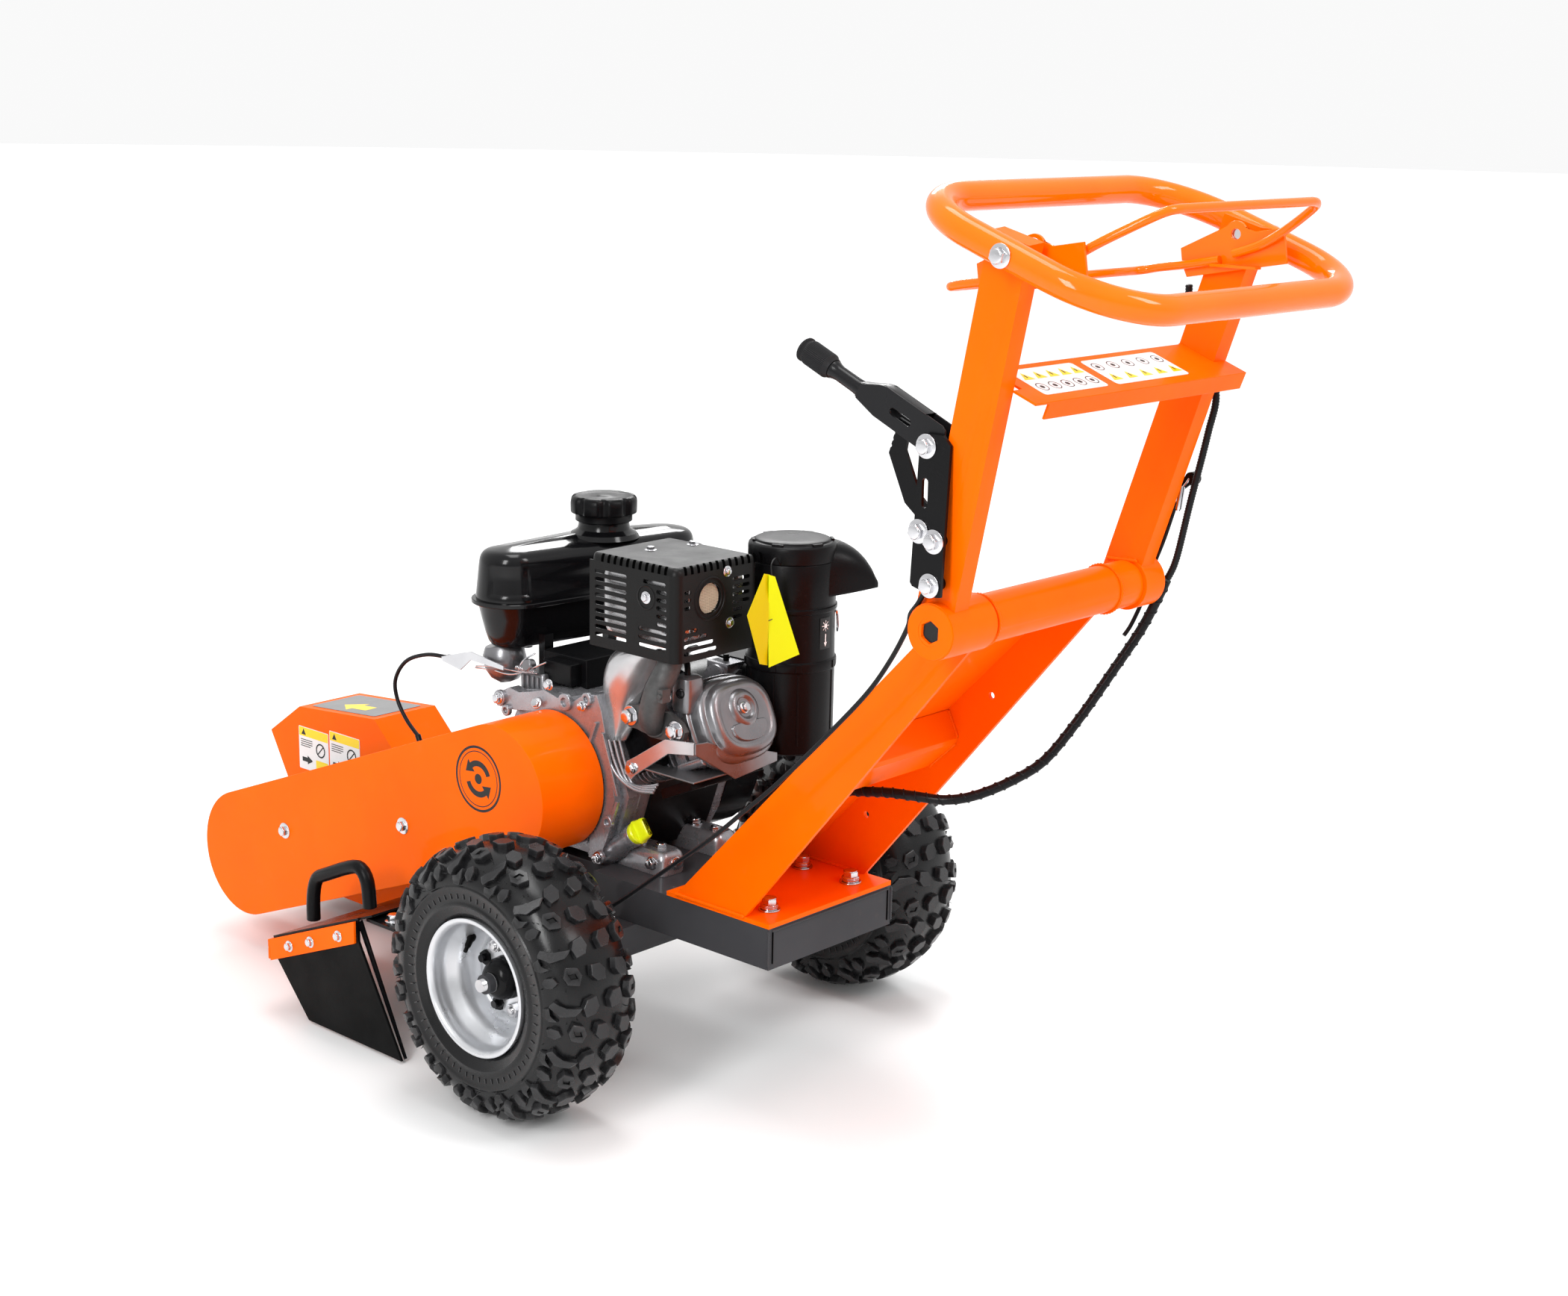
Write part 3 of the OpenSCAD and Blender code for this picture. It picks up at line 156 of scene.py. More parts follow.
class Nodes:
    """Short calls for building a procedural material's node tree."""

    def __init__(self, name):
        self.material = bpy.data.materials.new(name)
        self.material.use_nodes = True
        self.tree = self.material.node_tree
        self.shader = self.tree.nodes["Principled BSDF"]
        self.place = self.tree.nodes.new("ShaderNodeTexCoord").outputs["Object"]

    def feed(self, socket, value):
        """Gives a socket a number, a colour or vector, or another node's output."""
        if isinstance(value, (int, float)):
            socket.default_value = value
        elif isinstance(value, tuple):
            socket.default_value = (*value, 1) if len(socket.default_value) == 4 else value
        else:
            self.tree.links.new(value, socket)

    def node(self, kind, output, **inputs):
        """A new node's output; the inputs' names have _ for a space."""
        node = self.tree.nodes.new("ShaderNode" + kind)
        for key, value in inputs.items():
            self.feed(node.inputs[key.replace("_", " ")], value)
        return node.outputs[output]

    def noise(self, scale, detail=4):
        return self.node("TexNoise", "Fac", Scale=scale, Detail=detail, Roughness=0.55, Vector=self.place)

    def cells(self, scale):
        return self.node("TexVoronoi", "Distance", Scale=scale, Vector=self.place)

    def stretched(self, scale, stretch):
        mapping = self.node("Mapping", "Vector", Scale=stretch, Vector=self.place)
        return self.node("TexNoise", "Fac", Scale=scale, Detail=3, Vector=mapping)

    def remap(self, value, low, high, out_low, out_high):
        return self.node("MapRange", "Result", From_Min=low, From_Max=high, To_Min=out_low, To_Max=out_high,
                         Value=value)

    def mix(self, factor, a, b):
        node = self.tree.nodes.new("ShaderNodeMix")
        node.data_type = "RGBA"
        sockets = {s.name: s for s in node.inputs if s.type == "RGBA"}
        self.feed(sockets["A"], a)
        self.feed(sockets["B"], b)
        self.feed(node.inputs["Factor"], factor)
        return [s for s in node.outputs if s.type == "RGBA"][0]

    def edges(self, low, high):
        return self.remap(self.node("NewGeometry", "Pointiness"), low, high, 0, 1)

    def arithmetic(self, operation, a, b):
        node = self.tree.nodes.new("ShaderNodeMath")
        node.operation = operation
        self.feed(node.inputs[0], a)
        self.feed(node.inputs[1], b)
        return node.outputs["Value"]

    def times(self, a, b):
        return self.arithmetic("MULTIPLY", a, b)

    def plus(self, a, b):
        return self.arithmetic("ADD", a, b)

    def bump(self, height, strength, distance):
        normal = self.node("Bump", "Normal", Strength=strength, Distance=distance, Height=height)
        self.feed(self.shader.inputs["Normal"], normal)

    def set(self, **values):
        for key, value in values.items():
            self.feed(self.shader.inputs[key.replace("_", " ").title().replace("Ior", "IOR")], value)
        return self.material


def paint(name, base, dark, rough=0.3, coat=0.4, peel=0.04):
    """Powder coat: faint orange-peel bump, slow colour drift and a little dust."""
    n = Nodes(name)
    drift = n.mix(n.remap(n.noise(7), 0.35, 0.7, 0, 1), base, dark)
    dust = n.times(n.remap(n.noise(60, 6), 0.6, 0.85, 0, 0.04), n.remap(n.noise(5), 0.4, 0.6, 0, 1))
    colour = n.mix(dust, drift, (0.55, 0.34, 0.22))
    n.bump(n.plus(n.noise(420, 2), n.times(n.noise(28, 3), 0.6)), peel, 0.0004)
    return n.set(base_color=colour, roughness=n.remap(n.noise(24, 5), 0.3, 0.75, rough * 0.85, rough * 1.25),
                 coat_weight=coat, coat_roughness=0.05, specular_ior_level=0.03)


def plastic(name, base, rough, grain=900, depth=0.25, coat=0.0, pale=(0.03, 0.03, 0.03), shine=0.15):
    """Moulded plastic or painted steel: fine grain, faint scuffs and handling marks."""
    n = Nodes(name)
    scuff = n.times(n.remap(n.stretched(40, (1, 6, 6)), 0.62, 0.8, 0, 0.35), n.remap(n.noise(9), 0.45, 0.65, 0, 1))
    colour = n.mix(scuff, base, pale)
    n.bump(n.plus(n.noise(grain, 2), n.times(n.cells(grain * 0.6), 0.6)), depth, 0.0003)
    return n.set(base_color=colour, roughness=n.remap(n.noise(16, 6), 0.3, 0.75, rough * 0.8, rough * 1.3),
                 coat_weight=coat, coat_roughness=0.2, specular_ior_level=shine)


def metal(name, base, dark, rough, grain=240, depth=0.2, metallic=1.0, stretch=(1, 1, 1), stain=(0.25, 0.22, 0.19)):
    """Bare or plated metal: cast grain or brushed lines, stains and roughness changes."""
    n = Nodes(name)
    drift = n.mix(n.remap(n.noise(30, 5), 0.35, 0.7, 0, 1), base, dark)
    spots = n.times(n.remap(n.noise(75, 6), 0.62, 0.85, 0, 0.3), n.remap(n.noise(12), 0.5, 0.7, 0, 1))
    colour = n.mix(spots, drift, stain)
    n.bump(n.plus(n.stretched(grain, stretch), n.times(n.noise(grain * 0.3, 3), 0.5)), depth, 0.0004)
    return n.set(base_color=colour, metallic=metallic,
                 roughness=n.remap(n.stretched(grain * 0.4, stretch), 0.3, 0.75, rough * 0.85, rough * 1.2))


def tyre_rubber():
    n = Nodes("tyre_rubber")
    dust = n.times(n.remap(n.noise(22, 8), 0.5, 0.85, 0, 0.4), n.remap(n.noise(6), 0.3, 0.7, 0.1, 1))
    colour = n.mix(dust, (0.003, 0.003, 0.0035), (0.012, 0.0115, 0.011))
    # Lug edges are paler: rubbed wear, and a painted highlight along them.
    colour = n.mix(n.times(n.edges(0.52, 0.60), 0.7), colour, (0.046, 0.046, 0.048))
    n.bump(n.plus(n.noise(500, 3), n.times(n.noise(90, 4), 0.8)), 0.16, 0.0005)
    return n.set(base_color=colour, roughness=n.remap(n.noise(35, 6), 0.3, 0.75, 0.22, 0.34), specular_ior_level=0.30)


def grey(value):
    return (value, value, value)


def make_materials():
    return {
        "orange": paint("orange_paint", (1.0, 0.130, 0.0), (0.97, 0.115, 0.0), 0.34, 0.08),
        "orange_gloss": paint("orange_tube_paint", (1.0, 0.150, 0.0), (0.97, 0.135, 0.0), 0.22, 0.5),
        "frame_grey": paint("frame_paint", (0.052, 0.052, 0.056), (0.044, 0.044, 0.048), 0.36, 0.12, 0.08),
        "black_plastic": plastic("black_moulded", (0.0035, 0.0035, 0.004), 0.32, pale=grey(0.02), shine=0.11),
        "tank_black": plastic("tank_enamel", (0.003, 0.003, 0.0035), 0.15, 300, 0.03, 0.03, grey(0.012), 0.26),
        "black_steel": plastic("black_enamel", (0.0035, 0.0035, 0.004), 0.24, 500, 0.1, 0.03, grey(0.02), 0.12),
        "guard_black": plastic("heat_paint", grey(0.006), 0.38, 700, 0.25, 0.0, grey(0.02), 0.15),
        "tyre": tyre_rubber(),
        "rubber": plastic("flap_rubber", grey(0.003), 0.5, 420, 0.2, 0.0, grey(0.012), 0.07),
        "rim": metal("rim_silver", (0.66, 0.67, 0.69), (0.62, 0.63, 0.65), 0.30, 60, 0.02, 0.75, (1, 1, 1),
                     (0.58, 0.58, 0.60)),
        "zinc": metal("zinc_plate", (0.62, 0.62, 0.63), (0.50, 0.50, 0.52), 0.26, 60, 0.01, 1.0, (1, 1, 1)),
        "cast": metal("cast_aluminium", (0.38, 0.38, 0.40), (0.30, 0.30, 0.32), 0.28, 260, 0.05, 0.7),
        "muffler_steel": metal("muffler_steel", (0.42, 0.38, 0.34), (0.28, 0.25, 0.23), 0.42, 200, 0.3, 0.9),
        "exhaust_cast": metal("exhaust_cast", grey(0.10), grey(0.06), 0.55, 300, 0.6, 0.6),
        "cutter_steel": metal("cutter_steel", (0.16, 0.16, 0.17), (0.10, 0.10, 0.11), 0.45, 260, 0.4, 0.9),
        "lime": plastic("lime_plastic", (0.75, 0.86, 0.01), 0.26, 600, 0.1, 0.3, (0.8, 0.9, 0.2)),
        "yellow_tag": plastic("tag_yellow", (0.72, 0.93, 0.0), 0.4, 300, 0.05, 0.0, (0.75, 0.9, 0.02), 0.1),
        "red": plastic("switch_red", (0.45, 0.02, 0.015), 0.26, 600, 0.1, 0.3, (0.6, 0.2, 0.2)),
        "cable": plastic("cable_sleeve", (0.007, 0.007, 0.008), 0.30, 700, 0.2),
        "mesh_hole": plastic("mesh_shadow", (0.06, 0.055, 0.04), 0.5, 300, 0.3),
        "label_white": plastic("label_white", grey(0.80), 0.30, 300, 0.05, 0.3, grey(0.7)),
        "label_grey": plastic("label_grey", grey(0.20), 0.34, 300, 0.05, 0.3, grey(0.3)),
        "label_black": plastic("label_black", grey(0.010), 0.30, 300, 0.05, 0.2),
        "label_yellow": plastic("label_yellow", (0.90, 0.66, 0.01), 0.30, 300, 0.05, 0.3, (0.9, 0.8, 0.3)),
        "grip": plastic("grip_black", (0.012, 0.012, 0.013), 0.5, 600, 0.4),
        "brass_mesh": metal("brass_mesh", (0.62, 0.60, 0.46), (0.50, 0.48, 0.36), 0.35, 200, 0.05, 0.2),
        "bright_steel": metal("bright_steel", (0.56, 0.56, 0.57), (0.46, 0.46, 0.47), 0.24, 50, 0.03, 0.8),
        "bright_zinc": metal("bright_zinc", (0.68, 0.68, 0.70), (0.58, 0.58, 0.60), 0.18, 90, 0.02),
        "satin_alu": metal("satin_alu", (0.24, 0.24, 0.25), (0.19, 0.19, 0.20), 0.30, 60, 0.02, 0.8),
        "amber_tag": plastic("tag_amber", (0.66, 0.62, 0.0), 0.4, 300, 0.05, 0.0, (0.62, 0.6, 0.02), 0.1),
        "slot_shadow": plastic("slot_shadow", grey(0.001), 0.9, 300, 0.05, 0.0, grey(0.002), 0.0),
        "lever_black": plastic("lever_enamel", (0.008, 0.008, 0.009), 0.24, 500, 0.12, 0.1),
    }


# ---------- mesh helpers: everything is given in mm in the axle frame ----------

class Builder:
    """Collects shapes into one mesh, then makes a piece of it."""

    def __init__(self):
        self.points, self.faces = [], []

    def add(self, points, faces, move=None):
        start = len(self.points)
        self.points += [(move @ Vector(p)) if move else Vector(p) for p in points]
        self.faces += [tuple(i + start for i in f) for f in faces]
        return self

    def box(self, a, b, move=None):
        points = [(x, y, z) for x in (a[0], b[0]) for y in (a[1], b[1]) for z in (a[2], b[2])]
        faces = [(0, 1, 3, 2), (4, 6, 7, 5), (0, 4, 5, 1), (2, 3, 7, 6), (0, 2, 6, 4), (1, 5, 7, 3)]
        return self.add(points, faces, move)

    def prism(self, outline, low, high, move=None, inset=0.0, axis="z"):
        """A flat outline made thick along an axis; inset draws the far end in."""
        n = len(outline)
        mid = (sum(p[0] for p in outline) / n, sum(p[1] for p in outline) / n)
        far = [(mid[0] + (p[0] - mid[0]) * (1 - inset), mid[1] + (p[1] - mid[1]) * (1 - inset)) for p in outline]
        order = {"z": lambda p, h: (p[0], p[1], h), "x": lambda p, h: (h, p[0], p[1]),
                 "y": lambda p, h: (p[0], h, p[1])}[axis]
        points = [order(p, low) for p in outline] + [order(p, high) for p in far]
        faces = [tuple(range(n))[::-1], tuple(range(n, 2 * n))]
        faces += [(i, (i + 1) % n, n + (i + 1) % n, n + i) for i in range(n)]
        return self.add(points, faces, move)

    def lathe(self, profile, segs=48, move=None, closed=False):
        """Turns (radius, height) points about local Z."""
        n = len(profile)
        points = []
        for i in range(segs):
            a = math.radians(360.0) * i / segs
            points += [(r * math.cos(a), r * math.sin(a), h) for r, h in profile]
        faces = []
        for i in range(segs):
            j = (i + 1) % segs
            for k in range(n if closed else n - 1):
                m = (k + 1) % n
                faces.append((i * n + k, j * n + k, j * n + m, i * n + m))
        if not closed:
            for end, flip in ((0, True), (n - 1, False)):
                if profile[end][0] > 1e-6:
                    ring = [i * n + end for i in range(segs)]
                    faces.append(tuple(ring[::-1] if flip else ring))
        return self.add(points, faces, move)

    def tube(self, path, radius, sides=12, closed=False, move=None):
        """A round tube along a path; radius is a number or one number for each point."""
        path = [Vector(p) for p in path]
        n = len(path)
        radii = radius if isinstance(radius, (list, tuple)) else [radius] * n
        normal = None
        points = []
        for i in range(n):
            if closed:
                d = path[(i + 1) % n] - path[i - 1]
            else:
                d = path[min(i + 1, n - 1)] - path[max(i - 1, 0)]
            d.normalize()
            if normal is None:
                normal = d.orthogonal().normalized()
            normal = (normal - d * normal.dot(d)).normalized()
            other = d.cross(normal)
            points += [path[i] + (normal * math.cos(2 * math.pi * k / sides)
                                  + other * math.sin(2 * math.pi * k / sides)) * radii[i] for k in range(sides)]
        faces = []
        for i in range(n if closed else n - 1):
            j = (i + 1) % n
            faces += [(i * sides + k, i * sides + (k + 1) % sides, j * sides + (k + 1) % sides, j * sides + k)
                      for k in range(sides)]
        if not closed:
            faces += [tuple(range(sides))[::-1], tuple(range((n - 1) * sides, n * sides))]
        return self.add(points, faces, move)

    def loft(self, rings, cap_low=True, cap_high=True, move=None):
        """A skin round closed rings of points."""
        n = len(rings[0])
        points = [p for ring in rings for p in ring]
        faces = []
        for i in range(len(rings) - 1):
            faces += [(i * n + k, i * n + (k + 1) % n, (i + 1) * n + (k + 1) % n, (i + 1) * n + k) for k in range(n)]
        if cap_low:
            faces.append(tuple(range(n))[::-1])
        if cap_high:
            faces.append(tuple(range((len(rings) - 1) * n, len(rings) * n)))
        return self.add(points, faces, move)

    def sheet(self, rings, move=None):
        """A skin over open rows of points."""
        n = len(rings[0])
        faces = [(i * n + j, i * n + j + 1, (i + 1) * n + j + 1, (i + 1) * n + j)
                 for i in range(len(rings) - 1) for j in range(n - 1)]
        return self.add([p for ring in rings for p in ring], faces, move)

    def plate(self, outline, holes, thickness, place, soften=0.25):
        """A flat plate with holes; place turns its own (x, y, height) into a point."""
        points, faces = filled(outline, holes, thickness, soften)
        return self.add([place(*p) for p in points], faces)

    def piece(self, name, material, body, slot, bevel=0.0, subdivide=0, stands_for=(), smooth=40):
        mesh = bpy.data.meshes.new(name)
        mesh.from_pydata([at(*p) for p in self.points], [], self.faces)
        mesh.update()
        piece = shaded(name, mesh, material, smooth)
        if subdivide:
            modifier = piece.modifiers.new("smooth", "SUBSURF")
            modifier.levels = modifier.render_levels = subdivide
        if bevel:
            roll_edges(piece, bevel, 2, 35)
        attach(piece, body)
        if stands_for:
            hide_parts(*stands_for)
        return piece


def shaded(name, mesh, material, smooth, merge=False):
    """The mesh's object: faces turned outward, smooth up to an angle, in one material."""
    bm = bmesh.new()
    bm.from_mesh(mesh)
    if merge:
        bmesh.ops.remove_doubles(bm, verts=bm.verts, dist=2e-6)
        bmesh.ops.dissolve_limit(bm, angle_limit=math.radians(1.0), verts=bm.verts, edges=bm.edges)
    bmesh.ops.recalc_face_normals(bm, faces=bm.faces)
    bm.to_mesh(mesh)
    bm.free()
    for polygon in mesh.polygons:
        polygon.use_smooth = True
    mesh.set_sharp_from_angle(angle=math.radians(smooth))
    mesh.materials.clear()
    mesh.materials.append(MATERIALS[material])
    return linked(name, mesh)


def roll_edges(piece, width, segments, sharp):
    modifier = piece.modifiers.new("edges", "BEVEL")
    modifier.width = width / 1000
    modifier.segments = segments
    modifier.limit_method = "ANGLE"
    modifier.angle_limit = math.radians(sharp)
    modifier.harden_normals = True


def thicken(piece, metres):
    piece.modifiers.new("sheet", "SOLIDIFY").thickness = metres


def spline(points, steps, closed=False):
    """Points of a smooth curve through the given ones."""
    points = [Vector(p) for p in points]
    n = len(points)
    out = []
    for i in range(n if closed else n - 1):
        pick = (lambda k: points[k % n]) if closed else (lambda k: points[min(max(k, 0), n - 1)])
        a, b, c, d = pick(i - 1), pick(i), pick(i + 1), pick(i + 2)
        for s in range(steps):
            t = s / steps
            out.append(0.5 * (2 * b + (c - a) * t + (2 * a - 5 * b + 4 * c - d) * t * t
                              + (3 * b - a - 3 * c + d) * t ** 3))
    if not closed:
        out.append(points[-1])
    return out


def turn_to(axis, place):
    """A matrix that turns local +Z to the axis and moves the origin to the place."""
    turn = Vector(axis).to_track_quat("Z", "Y").to_matrix().to_4x4()
    return Matrix.Translation(Vector(place)) @ turn


def rounded(a, b, r, steps=5):
    """A rectangle's outline with round corners, from corner a to corner b."""
    out = []
    for cx, cy, start in ((b[0] - r, b[1] - r, 0), (a[0] + r, b[1] - r, 90), (a[0] + r, a[1] + r, 180),
                          (b[0] - r, a[1] + r, 270)):
        out += [polar(r, start + 90 * i / steps, cx, cy) for i in range(steps + 1)]
    return out


def stack(a, b, r, steps, levels):
    """Rings of a rounded rectangle: each level is a height and how far the sides stand out there."""
    return [[(x, y, z) for x, y in rounded((a[0] - g, a[1] - g), (b[0] + g, b[1] + g), r, steps)] for z, g in levels]


def ring_of(count, radius, phase=0.0):
    return [(radius * math.cos(2 * math.pi * i / count + phase), radius * math.sin(2 * math.pi * i / count + phase))
            for i in range(count)]


def add_bolt(b, place, axis, af=16, washer=0.70, phase=0.3):
    """A hex flange head with a domed top, chamfered corners and a dished washer."""
    move = turn_to(axis, place)
    b.lathe([(0.01, 0.0), (af * washer, 0.0), (af * washer, af * 0.09), (af * 0.56, af * 0.17), (0.01, af * 0.17)],
            32, move)
    hexagon = ring_of(6, af / math.sqrt(3), phase)
    b.prism(hexagon, af * 0.15, af * 0.52, move)
    b.lathe([(af * 0.50, af * 0.50), (af * 0.46, af * 0.58), (af * 0.34, af * 0.62), (0.01, af * 0.60)], 24, move)


def add_nut(b, place, axis, af, height, bore, phase=0.3):
    move = turn_to(axis, place)
    b.prism(ring_of(6, af / math.sqrt(3), phase), 0, height, move)
    b.lathe([(bore, height), (bore + 2.2, height + 0.9), (af * 0.49, height + 0.2), (af * 0.50, height - 0.6)], 24,
            move)


def add_thread(b, place, axis, radius, length):
    pitch, depth = 1.75, 0.9
    profile = [(0.01, 0.0)]
    h = 0.0
    while h < length:
        profile += [(radius - depth, h), (radius, h + pitch / 2)]
        h += pitch
    profile += [(radius - 1.2, length), (0.01, length)]
    b.lathe(profile, 32, turn_to(axis, place))


# ---------- wheels ----------

WHEEL_X, AXLE_Z = 317, 180
WIDEST, FARTHEST = 67.9, 179.8      # the tread stays inside this half width and this radius
WHISKER = 6.5                       # length of a moulding whisker
TREAD = [(171.5, 0), (171, 14), (169, 28), (165, 42), (158, 53), (148, 60), (136, 64.5), (124, 66)]


def tread_point(arc):
    """(radius, offset, normal radius, normal offset) at an arc length across the tread from its middle."""
    side = -1 if arc < 0 else 1
    arc = abs(arc)
    for (r0, x0), (r1, x1) in zip(TREAD, TREAD[1:]):
        step = math.hypot(r1 - r0, x1 - x0)
        if arc <= step or (r1, x1) == TREAD[-1]:
            t = min(arc / step, 1.0)
            dr, dx = (r1 - r0) / step, (x1 - x0) / step
            return r0 + (r1 - r0) * t, side * (x0 + (x1 - x0) * t), dx, side * -dr
        arc -= step


def halved(points):
    """The outline with a point added at the middle of every side."""
    out = []
    for (x0, y0), (x1, y1) in zip(points, points[1:] + points[:1]):
        out += [(x0, y0), ((x0 + x1) / 2, (y0 + y1) / 2)]
    return out


def turned(points, degrees):
    c, s = math.cos(math.radians(degrees)), math.sin(math.radians(degrees))
    return [(x * c - y * s, x * s + y * c) for x, y in points]


def six(length, width, tilt):
    """A six-sided lug's outline."""
    a, b, q = length / 2, width / 2, length * 0.2
    return turned(halved([(-a, 0), (-q, b), (q, b), (a, 0), (q, -b), (-q, -b)]), tilt)


def bar(length, width, tilt):
    """A bent bar's outline."""
    a, b = length / 2, width / 2
    return turned(halved([(-a, -b * 1.4), (-a * 0.8, b * 0.4), (0, b * 1.6), (a, b * 0.6), (a * 0.9, -b),
                          (0, -b * 0.6)]),
                  tilt)


DIAMOND = turned([(x + dx * i / 3, y + dy * i / 3) for x, y, dx, dy in (
    (-10, 0, 10, 6), (0, 6, 10, -6), (10, 0, -10, -6), (0, -6, -10, 6)) for i in range(3)], 50)


def tread_ring(base, hand, outline, lift):
    """The outline, in mm round and across the tread, laid on the carcass and lifted off it."""
    ring = []
    for u, w in outline:
        r, x, nr, nx = tread_point(hand * w)
        a = math.radians(base + u / 3.0)
        r, x = min(r + nr * lift, FARTHEST), x + nx * lift
        ring.append((r * math.cos(a), r * math.sin(a), max(-WIDEST, min(WIDEST, x))))
    return ring


def tyre(side, name, body, node):
    turn = Matrix(((0, 0, side, side * WHEEL_X), (1, 0, 0, 0), (0, side, 0, AXLE_Z), (0, 0, 0, 1)))
    b = Builder()
    half = [(171.5, 0), (171, 14), (169, 28), (165, 42), (158, 53), (148, 60), (136, 64.5), (131, 65), (129, 66.6),
            (127, 66.6), (125, 65.5), (112, 64.5), (109, 64.8), (107, 66), (105, 66), (103, 64.6), (97, 62.4),
            (95.5, 61.6), (94, 60.6), (90.5, 58.5), (88.1, 54)]
    profile = [(r, -x) for r, x in half[::-1]] + half[1:]
    b.lathe(profile + [(92, 30), (92, -30)], 120, turn, closed=True)
    pitch = 24.0
    # Each lug: place round and across the tread, outline, height, and whether its top holds a diamond.
    lugs = [
        (-18, 10, six(26, 18, 38), 8.3, False), (16, 26, six(27, 18, -32), 8.3, False),
        (-15, 43, six(27, 19, 22), 8.2, True), (17, 57, bar(34, 12, 62), 8.0, False),
        (-17, 69, six(20, 14, 78), 6.6, False), (8, 76, bar(22, 11, 20), 5.4, False),
    ]
    random.seed(7)
    for hand in (-1, 1):
        for k in range(15):
            base = pitch * k + (pitch / 2 if hand > 0 else 0)
            for u0, w0, outline, height, marked in lugs:
                def lug_ring(shape, scale, lift):
                    return tread_ring(base, hand, [(u0 + u * scale, w0 + w * scale) for u, w in shape], lift)
                steps = [(-2.0, 1.10), (0.6, 1.06), (height * 0.6, 1.02), (height - 0.6, 1.0), (height, 0.94)]
                rings = []
                for lift, scale in steps:
                    rings.append(lug_ring(outline, scale, lift))
                if marked:
                    for lift, scale in ((height, 0.62), (height - 2.2, 0.46)):
                        rings.append(lug_ring(DIAMOND, scale, lift))
                b.loft(rings, True, True, turn)
            # Moulding whiskers at the shoulder.
            for _ in range(5):
                r, x, nr, nx = tread_point(hand * random.uniform(36, 84))
                a = math.radians(base + random.uniform(0, 24))
                start = Vector((r * math.cos(a), r * math.sin(a), x))
                out = Vector((nr * math.cos(a + 0.3), nr * math.sin(a + 0.3), nx))
                end = start + out * WHISKER
                end.z = max(-WIDEST, min(WIDEST, end.z))
                flat = math.hypot(end.x, end.y)
                if flat > FARTHEST:
                    end.x, end.y = end.x * FARTHEST / flat, end.y * FARTHEST / flat
                b.tube([start, (start + end) / 2, end], [0.7, 0.5, 0.25], 5, move=turn)
    # Sidewall ribs.
    for hand in (-1, 1):
        for k in range(60):
            a = math.radians(6 * k)
            c, s = math.cos(a), math.sin(a)
            spot = Matrix(((c, -s, 0, 0), (s, c, 0, 0), (0, 0, 1, 0), (0, 0, 0, 1)))
            low, high = sorted((hand * 64.4, hand * 65.9))
            b.box((114, -0.7, low), (120, 0.7, high), turn @ spot)
    return b.piece(name, "tyre", body, "tyre", stands_for=[node], smooth=32)


def wheel(side, name, body, prefix):
    tyre(side, name + "_tyre_tread", body, prefix + "_tyre")
    out = turn_to((side, 0, 0), (side * WHEEL_X, 0, AXLE_Z))
    b = Builder()
    b.lathe([(83, 62), (86, 63.6), (88.6, 62.6), (89, 60.6), (88, 57), (87.4, 53), (85, 49), (84, 40), (82, 34),
             (75, 27), (71, 18), (69.6, 4), (69.2, -8), (71, -26), (74, -32), (83, -38), (84, -48), (87, -53),
             (88, -58), (89, -60.6), (88, -62.4), (86, -62.8), (83, -60), (80.5, -52), (80, -40), (77.5, -35),
             (70, -30), (67.2, -26), (66.2, -14), (62, -8.6), (58, -7.6), (54, -4), (50, 0), (44, 2), (30, 2.4),
             (20.2, 2.4), (20.2, 6.2), (32, 6.2), (45, 6), (52, 4), (56, -0.4), (59.5, -4.2), (64.5, -5), (66.2, 0),
             (67, 8), (68.4, 20), (72, 29), (79.4, 37), (81, 44), (81.5, 51), (80.6, 57)], 120, out, closed=True)
    # A weld bead where the disc meets the barrel.
    b.tube([out @ Vector((66.4 * math.cos(t), 66.4 * math.sin(t), -4.2 + 0.25 * math.sin(60 * t)))
            for t in [2 * math.pi * i / 160 for i in range(160)]], 1.7, 8, closed=True)
    b.piece(name + "_rim_pressing", "rim", body, "rim", stands_for=[prefix + "_rim"], smooth=50)
    nuts = Builder()
    for i in range(4):
        a = math.radians(90 * i + 22)
        spot = out @ Vector((42 * math.cos(a), 42 * math.sin(a), 6.2))
        add_nut(nuts, spot, (side, 0, 0), 17, 8, 5, 0.4 + i)
        add_thread(nuts, spot, (side, 0, 0), 5, 12)
    nuts.piece(name + "_wheel_nuts", "zinc", body, "zinc", bevel=0.4)
    hub = Builder()
    hub.lathe([(28, 2), (28, 6.4), (27.4, 12), (26.6, 18), (24, 26), (20, 31), (15.4, 33), (13.2, 33.4), (12.8, 32),
               (12.8, 28)], 56, out)
    # Grease nipple on the hub.
    tip = out @ Vector((24 * math.cos(2.4), 24 * math.sin(2.4), 13))
    hub.lathe([(3.2, -3), (3.2, 3), (2, 4), (1.6, 7), (2.4, 8), (1.2, 10), (0.01, 10)], 16,
              turn_to((side * 0.5, math.cos(2.4), math.sin(2.4)), tip))
    hub.piece(name + "_hub_cap", "black_steel", body, "black_steel", bevel=0.3)
    valve = Builder()
    root = Vector((side * 335, 54, 221))
    lean = Vector((side * 0.8, -0.5, -0.35)).normalized()
    valve.lathe([(6, -2), (6, 2), (4.4, 5), (4, 16), (3.3, 18), (2.7, 18), (2.7, 27), (0.01, 27.5)], 20,
                turn_to(lean, root))
    valve.piece(name + "_valve", "rubber", body, "rubber")


# ---------- dressing the CAD's own shapes ----------

